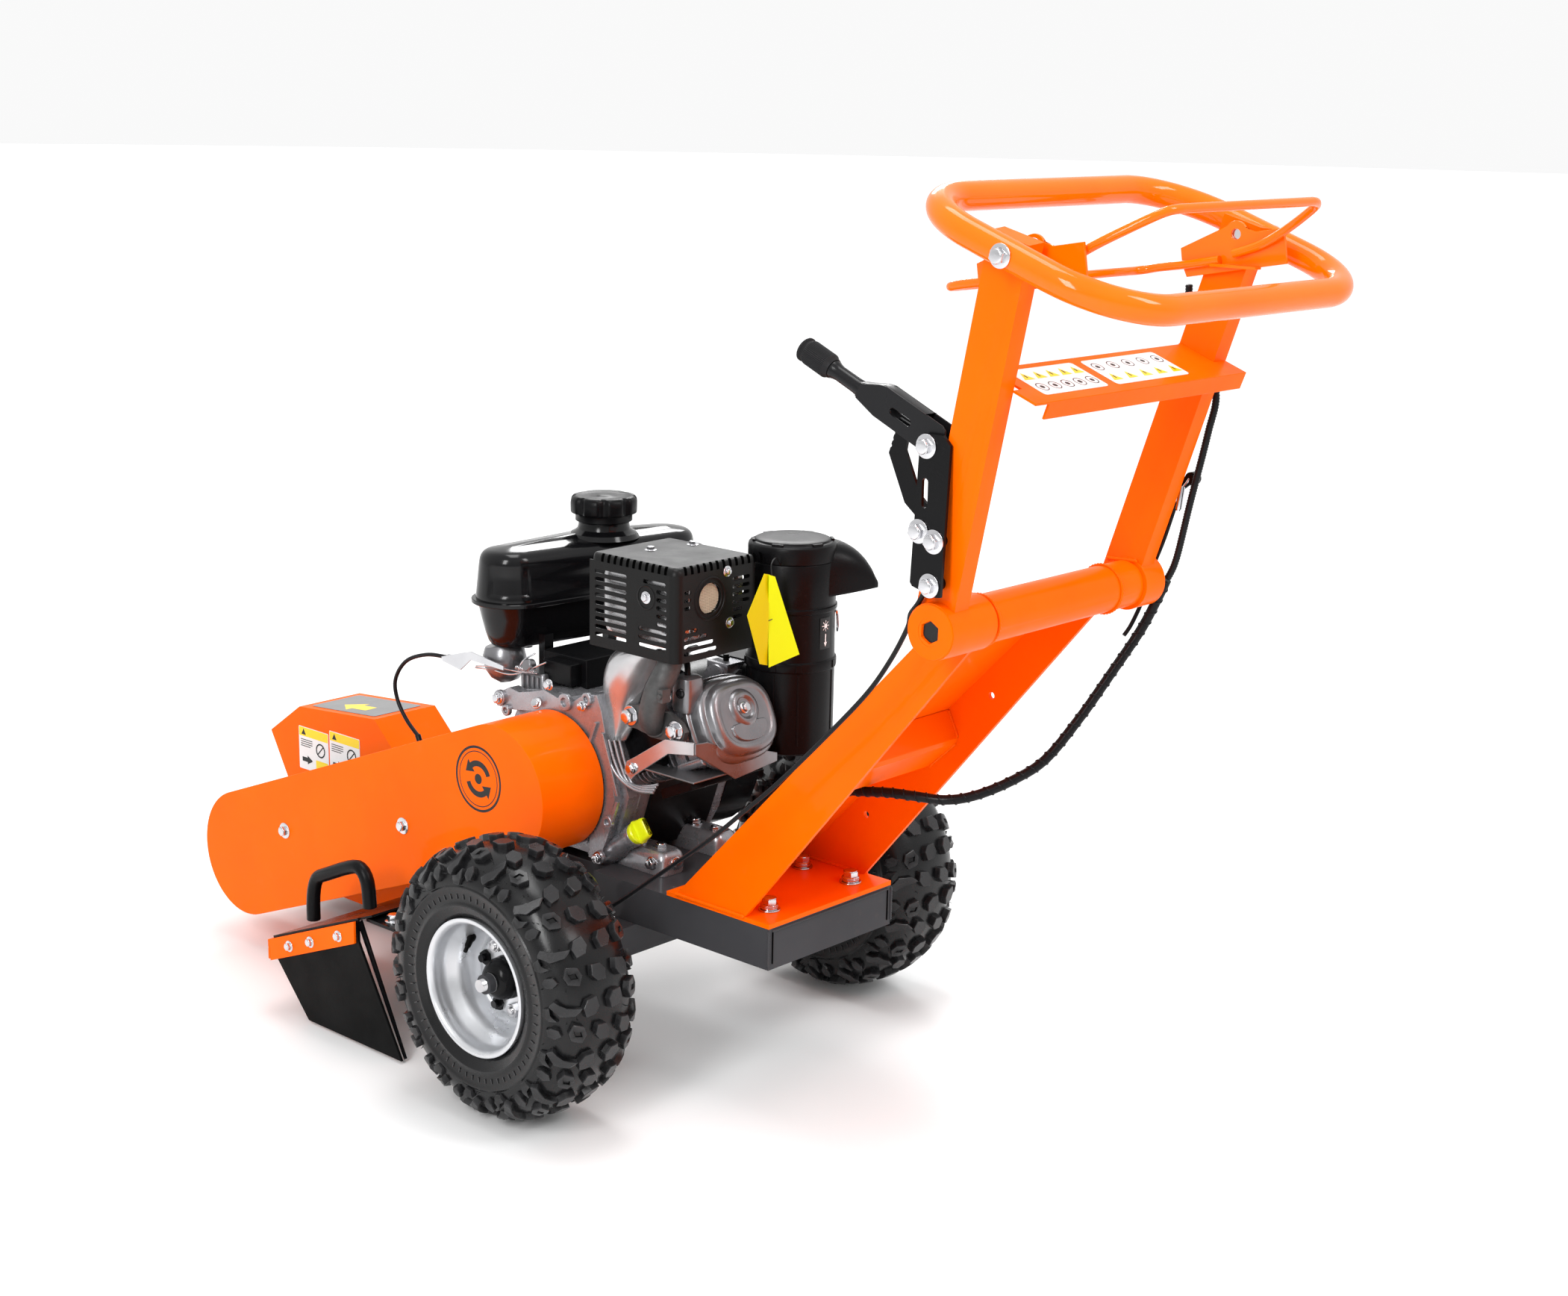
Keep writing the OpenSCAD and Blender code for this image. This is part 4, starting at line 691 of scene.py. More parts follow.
def dress(node, material, bevel=0.8, segments=2):
    """A copy of a CAD node's shape with rolled edges and shading that follows them."""
    source = frame["nodes"][node]
    mesh = source.data.copy()
    mesh.name = node + "_dressed"
    piece = shaded(node + "_dressed", mesh, material, 35, merge=True)
    roll_edges(piece, bevel, segments, 40)
    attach(piece, source["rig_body"])
    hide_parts(node)


def weld(builder, a, b, radius, ripple=0.35):
    """A rippled weld bead along a straight run."""
    a, b = Vector(a), Vector(b)
    count = max(2, int((b - a).length / 1.6))
    radii = [radius + (ripple if i % 2 else -ripple) for i in range(count)] + [radius * 0.6]
    radii[0] = radius * 0.6
    builder.tube([a.lerp(b, i / count) for i in range(count)] + [b], radii, 8)


def circle_path(centre, radius, axis, count=48):
    move = turn_to(axis, centre)
    return [move @ Vector((*polar(radius, 360.0 * i / count), 0)) for i in range(count)]


PIVOT = (-558.5, 699)               # the handlebar's pivot tube: its middle's y and z


# ---------- fuel tank and cap ----------

TANK_CIRCLES = (((-52, 292), 56), ((205, 262), 58), ((110, 298), 58))
CAP = (100, 270)


def tank_ring(inset, z, scale=1.0, panel=0.0):
    """The tank's outline drawn in by an inset, with a shallow panel pressed into its rear left face."""
    ring, count = [], 120
    for i in range(count):
        t = 2 * math.pi * i / count
        n = (math.cos(t), math.sin(t))
        centre, r = max(TANK_CIRCLES, key=lambda c: c[0][0] * n[0] + c[0][1] * n[1] + c[1])
        degrees = math.degrees(t)
        rise = max(0.0, min(1.0, (degrees - 184) / 8)) * max(0.0, min(1.0, (262 - degrees) / 6))
        reach = r - inset - panel * rise * rise * (3 - 2 * rise)
        x, y = centre[0] + reach * n[0], centre[1] + reach * n[1]
        ring.append((85 + (x - 85) * scale, 282 + (y - 282) * scale, z))
    return ring


def fuel_tank():
    b = Builder()
    levels = [(509, 44), (509.6, 34), (512, 27), (518, 22.5), (530, 18.5), (552, 13), (569, 9), (571, 8),
              (571.2, 0.8),
              (572, 0), (576.4, 0), (577.2, 0.8), (577.4, 6), (580, 6), (584, 6.4)]
    rings = [tank_ring(i, z) for z, i in levels]
    rings += [tank_ring(i, z, 1, panel) for i, z, panel in (
        (6.8, 587, 0.6), (7, 589, 1.8), (9, 608, 2.0), (10.4, 622, 1.8), (10.8, 625, 0.6), (11.2, 628, 0),
        (12.2, 633, 0), (14, 637.4, 0), (17, 641, 0), (21, 643.4, 0), (27, 645, 0), (36, 646.4, 0), (48, 648, 0))]
    rings += [tank_ring(48, 648 + 4.5 * (1 - s * s), s) for s in (0.85, 0.6, 0.35, 0.12)]
    b.loft(rings)
    b.lathe([(50, 645), (46, 651.5), (41, 654), (37.5, 657), (36, 662), (35.6, 666), (32, 667)], 64,
            Matrix.Translation((*CAP, 0)))
    # Legs to the crankcase and a drain boss under the tank.
    for x in (-40, 80):
        b.box((x, 240, 440), (x + 16, 252, 530))
        b.box((x - 6, 232, 440), (x + 22, 262, 444))
    b.lathe([(9, 500), (9, 512)], 24, Matrix.Translation((-20, 300, 0)))
    b.piece("fuel_tank_shell", "tank_black", "root", "black_plastic", stands_for=["fuel_tank"], smooth=28)
    c = Builder()
    lobes = 8

    def cap_ring(radius, z, depth):
        ring = []
        for i in range(160):
            t = 2 * math.pi * i / 160
            dip = max(0.0, math.cos(lobes * t)) ** 1.6
            ring.append((CAP[0] + (radius - depth * dip) * math.cos(t), CAP[1] + (radius - depth * dip) * math.sin(t),
                         z))
        return ring
    c.loft([cap_ring(*level) for level in (
        (35, 668, 0), (39.4, 668.4, 0), (40, 669, 0), (40, 676, 0), (42, 679, 0.6), (46, 680, 4), (47.2, 682, 5.4),
        (47.4, 694, 5.4), (46.6, 699, 5), (44, 702.4, 3.8), (40, 703.6, 1.6), (37, 703.2, 0.4), (34, 702.2, 0),
        (12, 702.0, 0), (9, 703.4, 0), (3, 703.8, 0))])
    c.piece("fuel_cap_moulding", "black_plastic", "fuel_cap", "black_plastic", stands_for=["fuel_cap"], smooth=38)
    d = Builder()
    d.lathe([(31.5, 655.2), (34.5, 655.2), (35.4, 657), (35.4, 667), (34, 668.2), (31.5, 668.4)], 56,
            Matrix.Translation((*CAP, 0)))
    d.piece("fuel_cap_skirt", "black_steel", "fuel_cap", "black_steel")


# ---------- muffler ----------

def filled(outline, holes, thickness, soften):
    """A flat plate with holes, as points and faces about z = 0, in mm."""
    curve = bpy.data.curves.new("cut", "CURVE")
    curve.dimensions = "2D"
    curve.fill_mode = "BOTH"
    curve.extrude = thickness / 2 - soften
    curve.bevel_depth = soften
    curve.bevel_resolution = 1
    curve.offset = -soften
    for loop in [outline] + holes:
        line = curve.splines.new("POLY")
        line.points.add(len(loop) - 1)
        for point, (x, y) in zip(line.points, loop):
            point.co = (x, y, 0, 1)
        line.use_cyclic_u = True
    holder = linked("cut", curve)
    bpy.context.view_layer.update()
    mesh = bpy.data.meshes.new_from_object(holder.evaluated_get(bpy.context.evaluated_depsgraph_get()))
    points = [tuple(v.co) for v in mesh.vertices]
    faces = [tuple(p.vertices) for p in mesh.polygons]
    bpy.data.objects.remove(holder)
    bpy.data.meshes.remove(mesh)
    return points, faces


def slot_hole(x0, x1, y, half):
    return [polar(half, start + 30 * i, cx, y) for cx, start in ((x1 - half, -90), (x0 + half, 90)) for i in range(7)]


def muffler_guard():
    left, right, rear, front, low, top = -105, 47, -75, 82, 556, 678
    round_r, edge_r, wall = 12, 9, 1.8
    out_x, out_z = -43.6, 633       # the outlet's middle
    b = Builder()
    # Left wall: local x runs to the rear, local y is height.
    holes = [slot_hole(-72, -14, 572.5 + 10.4 * i, 2.6) for i in range(9)]
    holes += [slot_hole(*((8, 58) if i < 3 else (40, 58)), 572.5 + 10.4 * i, 2.6) for i in range(8)]
    holes.append(slot_hole(16, 56, 655.7, 2.6))
    side_wall = [(-front, low), (-rear - round_r, low), (-rear - round_r, top - edge_r), (-front, top - edge_r)]
    b.plate(side_wall, holes, wall, lambda x, y, z: (left + wall / 2 + z, -x, y))
    # Rear wall, with the outlet and two banks of slots.
    holes = [slot_hole(-90, end, 567 + 9.6 * i, 2.5) for i, end in enumerate((-30, -36, -48))]
    holes += [slot_hole(-90, -78, z, 2.5) for z in (646, 636, 626)] + [slot_hole(-88, -66, 595.8, 2.5)]
    holes += [slot_hole(-2, 30 if z > 612 else 16, z, 2.5) for z in (652, 642, 632, 622, 612, 602)]
    holes.append([polar(21, t, out_x, out_z) for t in range(0, 360, 9)])
    b.plate([(left + round_r, low), (right - round_r, low), (right - round_r, top - edge_r),
             (left + round_r, top - edge_r)], holes, wall, lambda x, y, z: (x, rear + wall / 2 + z, y))
    # Right wall, round corners and the rolled top edge.
    b.plate(side_wall, [slot_hole(-60, 50, 590 + 18 * i, 3) for i in range(4)], wall,
            lambda x, y, z: (right - wall / 2 + z, -x, y))
    for cx, cy, start in ((left + round_r, rear + round_r, 180), (right - round_r, rear + round_r, 270)):
        rings = []
        for r in (round_r, round_r - wall):
            for z in (low, top - edge_r):
                rings.append([(*polar(r, start + 9 * i, cx, cy), z) for i in range(11)])
        n = 11
        quad = rings[0] + rings[1] + rings[3] + rings[2]
        faces = [(i, i + 1, n + i + 1, n + i) for i in range(n - 1)]
        faces += [(2 * n + i, 2 * n + i + 1, 3 * n + i + 1, 3 * n + i) for i in range(n - 1)]
        faces += [(3 * n + i, 3 * n + i + 1, i + 1, i) for i in range(n - 1)]
        b.add(quad, faces)
    def top_ring(inset, z):
        r = max(round_r - inset, 3.5)
        return [(x, y, z) for x, y in rounded((left + inset, rear + inset), (right - inset, front - inset * 0.2), r,
                                              6)]
    rim = [(0, top - edge_r), (0.7, top - edge_r * 0.6), (2.6, top - edge_r * 0.28), (5.4, top - 0.7), (edge_r, top)]
    rim += [(edge_r, top - 2), (4.4, top - 4), (1.8, top - edge_r)]
    b.loft([top_ring(i, z) for i, z in rim], False, False)
    outline = rounded((left + edge_r - 1, rear + edge_r - 1), (right - edge_r + 1, front - 2), 4, 5)
    screws = ((-36, 40), (30, 28))
    holes = [[polar(5, t, *screw) for t in range(0, 360, 20)] for screw in screws]
    b.plate(outline, holes, wall, lambda x, y, z: (x, y, top - wall / 2 + z))
    # Pressed rings about the outlet and the screws.
    for centre, radius, axis, thick in (
            ((out_x, rear + 0.5, out_z), 27, (0, -1, 0), 2.0), ((out_x, rear + 0.3, out_z), 21.4, (0, -1, 0), 1.3),
            ((left + 0.4, -22, 635), 15, (-1, 0, 0), 1.4), ((*screws[0], top - 1.0), 12, (0, 0, 1), 1.0),
            ((*screws[1], top - 1.0), 12, (0, 0, 1), 1.0)):
        b.tube(circle_path(centre, radius, axis), thick, 8, closed=True)
    b.piece("muffler_guard_pressing", "guard_black", "root", "black_steel", stands_for=["muffler_guard"], smooth=35)
    # Slots in the rolled edge: dark inlays that sit just proud of it.
    s = Builder()
    roll = [(-0.15, 669), (0.55, 672.7), (2.4, 675.9), (5.2, 677.6), (8.6, 678.15)]
    strip = [(i, i + 1, i + 6, i + 5) for i in range(4)]
    for i in range(11):
        y = -58 + 11.4 * i
        s.add([(left + d, y + w + 0.6 * d, z) for w in (0, 4.6) for d, z in roll], strip)
    for i in range(13):
        x = -90 + 11.6 * i
        s.add([(x + w + 0.6 * d, rear + d, z) for w in (0, 4.6) for d, z in roll], strip)
    s.piece("guard_edge_slots", "slot_shadow", "root", "black_steel")
    m = Builder()
    # A dark disc behind the mesh wires: painted shade inside the outlet.
    m.lathe([(0.01, 0), (20.4, 0), (20.6, -3), (20.4, -6)], 40, turn_to((0, -1, 0), (out_x, rear + 6, out_z)))
    m.piece("outlet_painted_shade", "mesh_hole", "root", "muffler_steel")
    g = Builder()
    for i in range(-9, 10):
        off = 2.05 * i
        half = math.sqrt(max(0.0, 19.6 ** 2 - off ** 2))
        g.tube([(out_x + off, rear + 4.6, out_z - half), (out_x + off, rear + 4.6, out_z + half)], 0.6, 6)
        g.tube([(out_x - half, rear + 4.2, out_z + off), (out_x + half, rear + 4.2, out_z + off)], 0.6, 6)
    g.piece("outlet_mesh", "brass_mesh", "root", "muffler_steel")
    # The muffler itself, with its pressed ribs.
    core = Builder()
    rings = []
    for i in range(27):
        x = left + 10 + (right - left - 22) * i / 26
        grow = (2.4 if i % 4 in (1, 2) else 0) - (6 if i in (0, 26) else 0)
        rings.append([(x, y, z) for y, z in rounded((-60 - grow, 572 - grow), (68 + grow, 664 + grow), 22, 6)])
    core.loft(rings)
    core.piece("muffler_core", "bright_steel", "root", "muffler_steel", stands_for=["muffler"], smooth=50)


# ---------- cylinder, head and exhaust ----------

HEAD = Matrix.Translation((0, 150, 360)) @ Matrix.Rotation(math.radians(65), 4, "X")


def head_ring(half_x, half_y, h, power, count):
    """A rectangle's ring whose corners grow rounder as the power falls."""
    ring = []
    for i in range(count):
        t = 2 * math.pi * i / count
        c, s = math.cos(t), math.sin(t)
        ring.append((half_x * math.copysign(abs(c) ** (2 / power), c),
                     half_y * math.copysign(abs(s) ** (2 / power), s), h))
    return ring


def cylinder_head():
    b = Builder()
    b.loft([head_ring(*r, 2.7, 96) for r in (
        (66, 58, 232), (69, 61, 232.6), (70, 62, 234), (70, 62, 240), (69, 61, 241.4), (67, 59, 242),
        (65.6, 57.8, 243),
        (65, 57.2, 245), (64.6, 56.8, 254), (63.6, 55.8, 258), (61.4, 53.8, 261), (59, 51.6, 262.2),
        (57.6, 50.2, 263),
        (57, 49.6, 264.4), (56.4, 49, 269), (54.6, 47.4, 272.6), (51, 44, 275.2), (47, 40.4, 276.2), (44.4, 38, 276),
        (43, 36.6, 275.2), (41, 34.8, 274.8), (34, 28, 275.4), (22, 18, 276), (8, 6, 276.2))], move=HEAD)
    # A raised blank panel below a boss with its dished washer.
    outline = [(-33, -12), (-31, -22), (-20, -31), (0, -34), (20, -31), (31, -22), (33, -12), (24, -8), (-24, -8)]
    smooth_outline = [(p.x, p.y) for p in spline([(*q, 0) for q in outline + outline[:1]], 5)][:-1]
    b.prism(smooth_outline, 275, 278.2, HEAD, 0.07)
    b.lathe([(26, 275), (23.4, 278.4), (20, 280.4), (16.4, 280.6), (14.5, 279.4), (12.5, 277.2), (9, 276.6),
             (0.01, 276.6)], 48, HEAD @ Matrix.Translation((0, 10, 0)))
    b.piece("valve_cover_casting", "satin_alu", "root", "cast", bevel=0.7, stands_for=["valve_cover"], smooth=50)
    s = Builder()
    for x, y, z, af in ((0, 10, 276.5, 11), (-50, -42, 236, 9), (50, -42, 236, 9), (-50, 42, 236, 9),
                        (50, 42, 236, 9)):
        add_bolt(s, HEAD @ Vector((x, y, z)), HEAD.to_3x3() @ Vector((0, 0, 1)), af)
    s.piece("valve_cover_bolts", "zinc", "root", "zinc")
    # Extra fins, studs and ribs on the barrel.
    f = Builder()
    for i in range(9):
        z = 114.5 + 8.6 * i
        f.loft([head_ring(66, 49, z + d, 5, 60) for d in (0, 0.4, 2.2, 2.6)], move=HEAD)
    for half_x, half_y, levels in ((62, 51, (190.5, 193, 206, 208)), (60, 50, (212, 214, 230, 233))):
        f.loft([head_ring(half_x, half_y, z, 6, 60) for z in levels], move=HEAD)
    for x in (-56, 56):
        for y in (-40, 40):
            f.lathe([(7, 190), (7, 236), (5.5, 237.5)], 20, HEAD @ Matrix.Translation((x, y, 0)))
    f.box((-80, 6, 184), (-50, 48, 216), HEAD)
    f.piece("cylinder_fins", "cast", "root", "cast", bevel=0.5, stands_for=["engine_cylinder"], smooth=35)
    e = Builder()
    path = spline([(-78, -17, 463), (-90, -20, 467), (-99, -26, 480), (-100, -33, 503), (-96, -40, 524),
                   (-86, -44, 545),
                   (-78, -42, 562)], 6)
    e.tube(path, [15 + 1.6 * math.sin(math.pi * i / (len(path) - 1)) for i in range(len(path))], 28)
    e.tube(circle_path((-83, -19, 466), 17.5, (-0.9, -0.15, 0.3)), 2.4, 8, closed=True)
    flange = [(36, 460), (36, 474), (28, 482), (-2, 486), (-44, 484), (-66, 474), (-74, 464), (-70, 452), (-58, 447),
              (-20, 446), (14, 452), (28, 452)]
    e.prism(flange, -86, -78, axis="x")
    e.box((-113, -60, 505), (-99, -52, 522))
    e.lathe([(3.4, 0), (3.4, 3), (2.0, 3.4)], 16, turn_to((-1, 0, 0), (-113, -56, 513)))
    e.piece("exhaust_casting", "exhaust_cast", "root", "muffler_steel", bevel=1.2, stands_for=["exhaust_pipe"],
            smooth=40)
    n = Builder()
    for y, z in ((24, 468), (-58, 464)):
        spot = turn_to((-1, 0, 0), (-86, y, z))
        n.lathe([(0.01, 0), (13, 0), (13.4, 1), (13, 2.2), (0.01, 2.2)], 32, spot)
        n.prism(ring_of(6, 10.4, 0.5), 2, 10, spot)
        n.lathe([(9.2, 9.6), (8, 11.2), (5, 12), (0.01, 11.6)], 28, spot)
    n.piece("exhaust_bolts", "bright_zinc", "root", "zinc", bevel=0.6)
    # Bright heat shield between the exhaust and the tank.
    left_edge, right_edge = (spline([(*q, 0) for q in edge], 5) for edge in (
        ((40, 556), (66, 540), (80, 512), (84, 480), (80, 452), (66, 426)),
        ((-30, 556), (-12, 532), (4, 508), (18, 486), (28, 458), (44, 428))))
    rings = []
    for i, (a, c) in enumerate(zip(left_edge, right_edge)):
        v = i / (len(left_edge) - 1)
        ring = []
        for j in range(13):
            u = j / 12
            p = a.lerp(c, u)
            bulge = 20 * math.sin(math.pi * min(1, u * 1.05)) ** 0.55 * (1 - 0.35 * v) + 3 * math.sin(6 * v)
            ring.append((-76 - bulge, p.x, p.y))
        rings.append(ring)
    thicken(Builder().sheet(rings).piece("heat_shield", "bright_steel", "root", "cast", subdivide=1), 0.0014)
    # Cooling-air deflector below the head.
    d = Builder()
    d.prism([(30, 392), (24, 408), (10, 416), (-46, 452), (-97, 457), (-97, 440), (-52, 433), (8, 392), (16, 384)],
            -94, -91, axis="x")
    d.piece("air_deflector_arm", "bright_steel", "root", "cast", bevel=1.0)
    d = Builder()
    d.prism([(-93, 456), (-93, 441), (-62, 422), (-18, 394), (62, 402), (62, 414), (30, 424), (-40, 442), (-70, 454)],
            -100, -97.4, axis="y")
    d.prism([(-93, -97), (-93, 8), (-70, 20), (-30, 10), (62, -20), (62, -97), (-18, -97)], 402, 404.6)
    d.piece("air_deflector_panel", "satin_alu", "root", "cast", bevel=1.0)
    k = Builder()
    add_bolt(k, (-94, 14, 400), (-1, 0, 0), 11)
    add_bolt(k, (-96, -52, 508), (-1, 0, 0), 9)
    k.piece("deflector_bolts", "bright_zinc", "root", "zinc")
    # Plug cap and its lead, and a small shield behind them.
    p = Builder()
    p.loft(stack((-74, -66), (-40, -34), 8, 5, ((482, -6), (484, -1), (490, 0), (522, 0), (528, -1), (531, -5))))
    p.piece("exhaust_bracket", "satin_alu", "root", "cast", bevel=0.8)
    p = Builder()
    p.tube(spline([(-57, -50, 528), (-54, -46, 542), (-40, -30, 549), (-10, -6, 548), (30, 20, 540)], 6), 4, 12)
    p.lathe([(6.5, 0), (6.5, 3), (4, 4), (4, 1.5), (0.01, 1.5)], 24, turn_to((-0.9, -0.4, 0), (-73, -54, 510)))
    p.piece("plug_cap", "black_plastic", "root", "black_plastic", bevel=0.8)


# ---------- crankcase details ----------

FILLER = turn_to((0, -0.809, 0.588), (-78, 40, 292))


def crankcase_details():
    b = Builder()
    outline = [(272, 436), (266, 456), (246, 466), (226, 463), (204, 468), (176, 476), (150, 470), (120, 470),
               (96, 486),
               (74, 488), (66, 470), (58, 440), (48, 400), (40, 352), (52, 300), (70, 262), (90, 262), (84, 320),
               (74, 356),
               (84, 400), (100, 436), (150, 448), (240, 436)]
    b.prism(outline, -100, -82, axis="x")
    b.prism([(88, 470), (96, 484), (140, 470), (170, 474), (240, 462), (236, 446), (150, 456), (96, 452)], -84, 60,
            axis="x")
    # Ribs on the crankcase's rear wall and along its foot.
    for y0, z0, y1, z1 in ((58, 440, 30, 360), (30, 352, 52, 292), (70, 452, 100, 380)):
        b.prism([(y0, z0), (y1, z1), (y1 + 5, z1), (y0 + 5, z0)], -104, -99, axis="x")
    for x in (-66, -38, -10, 18, 46, 74):
        b.prism([(24, 356), (44, 300), (60, 264), (64, 264), (50, 300), (30, 356)], x - 2, x + 2, axis="x")
    # Long curved ribs that run down behind the exhaust and turn rearward.
    for i in range(4):
        b.tube(spline([(-101 + 3 * i, 60 - 7 * i, 432), (-101 + 3 * i, 48 - 7 * i, 404 - i),
                       (-100 + 3 * i, 30 - 5 * i, 384 - 2 * i),
                       (-98 + 3 * i, 2 - 4 * i, 374 + 2 * i), (-94 + 3 * i, -26, 376 + 3 * i)], 6), 2.2, 8)
    # Bosses along the split line.
    for y, z, r in ((262, 449, 11), (249, 434, 8), (132, 468, 12), (90, 480, 9), (50, 320, 9), (66, 268, 9)):
        b.lathe([(r, 0), (r, 5), (r - 1, 6), (r * 0.5, 6), (r * 0.5, 2), (0.01, 2)], 28,
                turn_to((-1, 0, 0), (-99, y, z)))
    # Black plate over the rear wall: painted shade, where that wall lies in shadow; and a black bracket between the
    # tank and the case.
    v = Builder()
    v.prism([(18, 396), (20, 356), (40, 300), (55, 264), (61, 264), (46, 300), (27, 356), (25, 396)], -48, 84,
            axis="x")
    v.box((-46, 150, 452), (66, 236, 512))
    v.box((-66, 160, 476), (-44, 214, 506))
    v.piece("engine_rear_shade_and_bracket", "black_plastic", "root", "black_plastic", bevel=2.0)
    # Engine feet and the rear mount with its webs.
    for corner, far in (((-76, -26), (-32, 66)), ((34, -20), (76, 66))):
        b.loft(stack(corner, far, 10, 5, ((254.6, 0), (275, 0), (282, -2), (286, -6))))
    # Oil filler tube.
    b.lathe([(17, -52), (17, -16), (15.2, -8), (14.6, 6), (15.4, 10), (16, 18), (15, 22), (10, 22)], 40, FILLER)
    b.prism([(100, 262), (88, 300), (70, 318), (56, 300), (66, 262)], -92, -70, axis="x")
    b.piece("crankcase_ribs", "cast", "root", "cast", bevel=1.0, smooth=35)
    # Governor housing, intake bowl and brackets under the tank.
    g = Builder()
    g.loft(stack((-76, 204), (-30, 252), 6, 4, ((450, 2), (452, 0), (482, 0), (486, -2))))
    for y in (212, 222, 232, 242):
        g.box((-79, y - 1.4, 452), (-75, y + 1.4, 482))
    g.lathe([(0.01, -28), (14, -25), (24, -16), (29, -4), (30, 4), (29, 16), (25, 24), (23, 27)], 48,
            turn_to((-0.1, 0.2, 1), (-58, 300, 484)))
    g.lathe([(9, -4), (9, 6), (7, 8), (0.01, 8)], 28, turn_to((-1, 0, 0.2), (-80, 226, 497)))
    g.piece("governor_housing", "satin_alu", "root", "cast", bevel=0.8, smooth=40)
    r = Builder()
    for path, radius in (([(-82, 336, 474), (-84, 300, 478), (-84, 254, 480), (-83, 190, 508)], 1.3),
                         ([(-86, 330, 478), (-88, 290, 485), (-86, 246, 486), (-84, 206, 490)], 1.1),
                         ([(-80, 252, 479), (-80, 240, 500), (-70, 226, 512)], 1.4)):
        r.tube(spline(path, 5), radius, 8)
    # Spring between the lever and the bracket.
    r.tube([(-85 + 3 * math.cos(i * 0.9), 210 + i * 0.42, 491 + 3 * math.sin(i * 0.9)) for i in range(90)], 0.6, 6)
    r.prism([(352, 470), (390, 476), (392, 482), (352, 494), (330, 500), (262, 492), (262, 486), (330, 488)], -96,
            -93.6,
            axis="x")
    r.lathe([(5.2, 0), (5.2, 12), (4, 13)], 20, turn_to((0, 1, 0), (-90, 372, 481)))
    r.lathe([(3, -14), (3, 26)], 16, turn_to((0, 1, 0), (-90, 360, 481)))
    r.piece("throttle_linkage", "bright_zinc", "root", "zinc", bevel=0.3)
    s = Builder()
    for place, af in (((-105, 262, 449), 12), ((-105, 160, 487), 11), ((-105, 66, 268), 12), ((-76, -6, 271), 13),
                      ((-105, 96, 470), 10)):
        add_bolt(s, place, (-1, 0, 0), af)
    for place, axis, af in (((-52, 2, 284), (0, 0, 1), 13), ((52, 2, 284), (0, 0, 1), 13),
                            ((-52, -26, 270), (0, -1, 0), 13), ((-104, 186, 456), (-0.9, -0.2, 0.4), 11)):
        add_bolt(s, place, axis, af)
    s.piece("crankcase_bolts", "bright_zinc", "root", "zinc", bevel=0.3)
    # Dipstick with an arched finger grip.
    d = Builder()
    d.lathe([(8.4, 4), (8.4, 22.4), (15, 22.6), (15.6, 24), (15.6, 29), (14, 31)], 40, FILLER)
    d.loft(stack((-6, -15), (6, 15), 4.5, 5, ((29, 1.5), (33, 0), (42, -0.5), (46, -1.5), (48, -3.5))), move=FILLER)
    d.piece("dipstick_cap", "lime", "dipstick", "lime", bevel=0.6, stands_for=["dipstick"])


# ---------- air cleaner ----------

CAN = (122, -66)


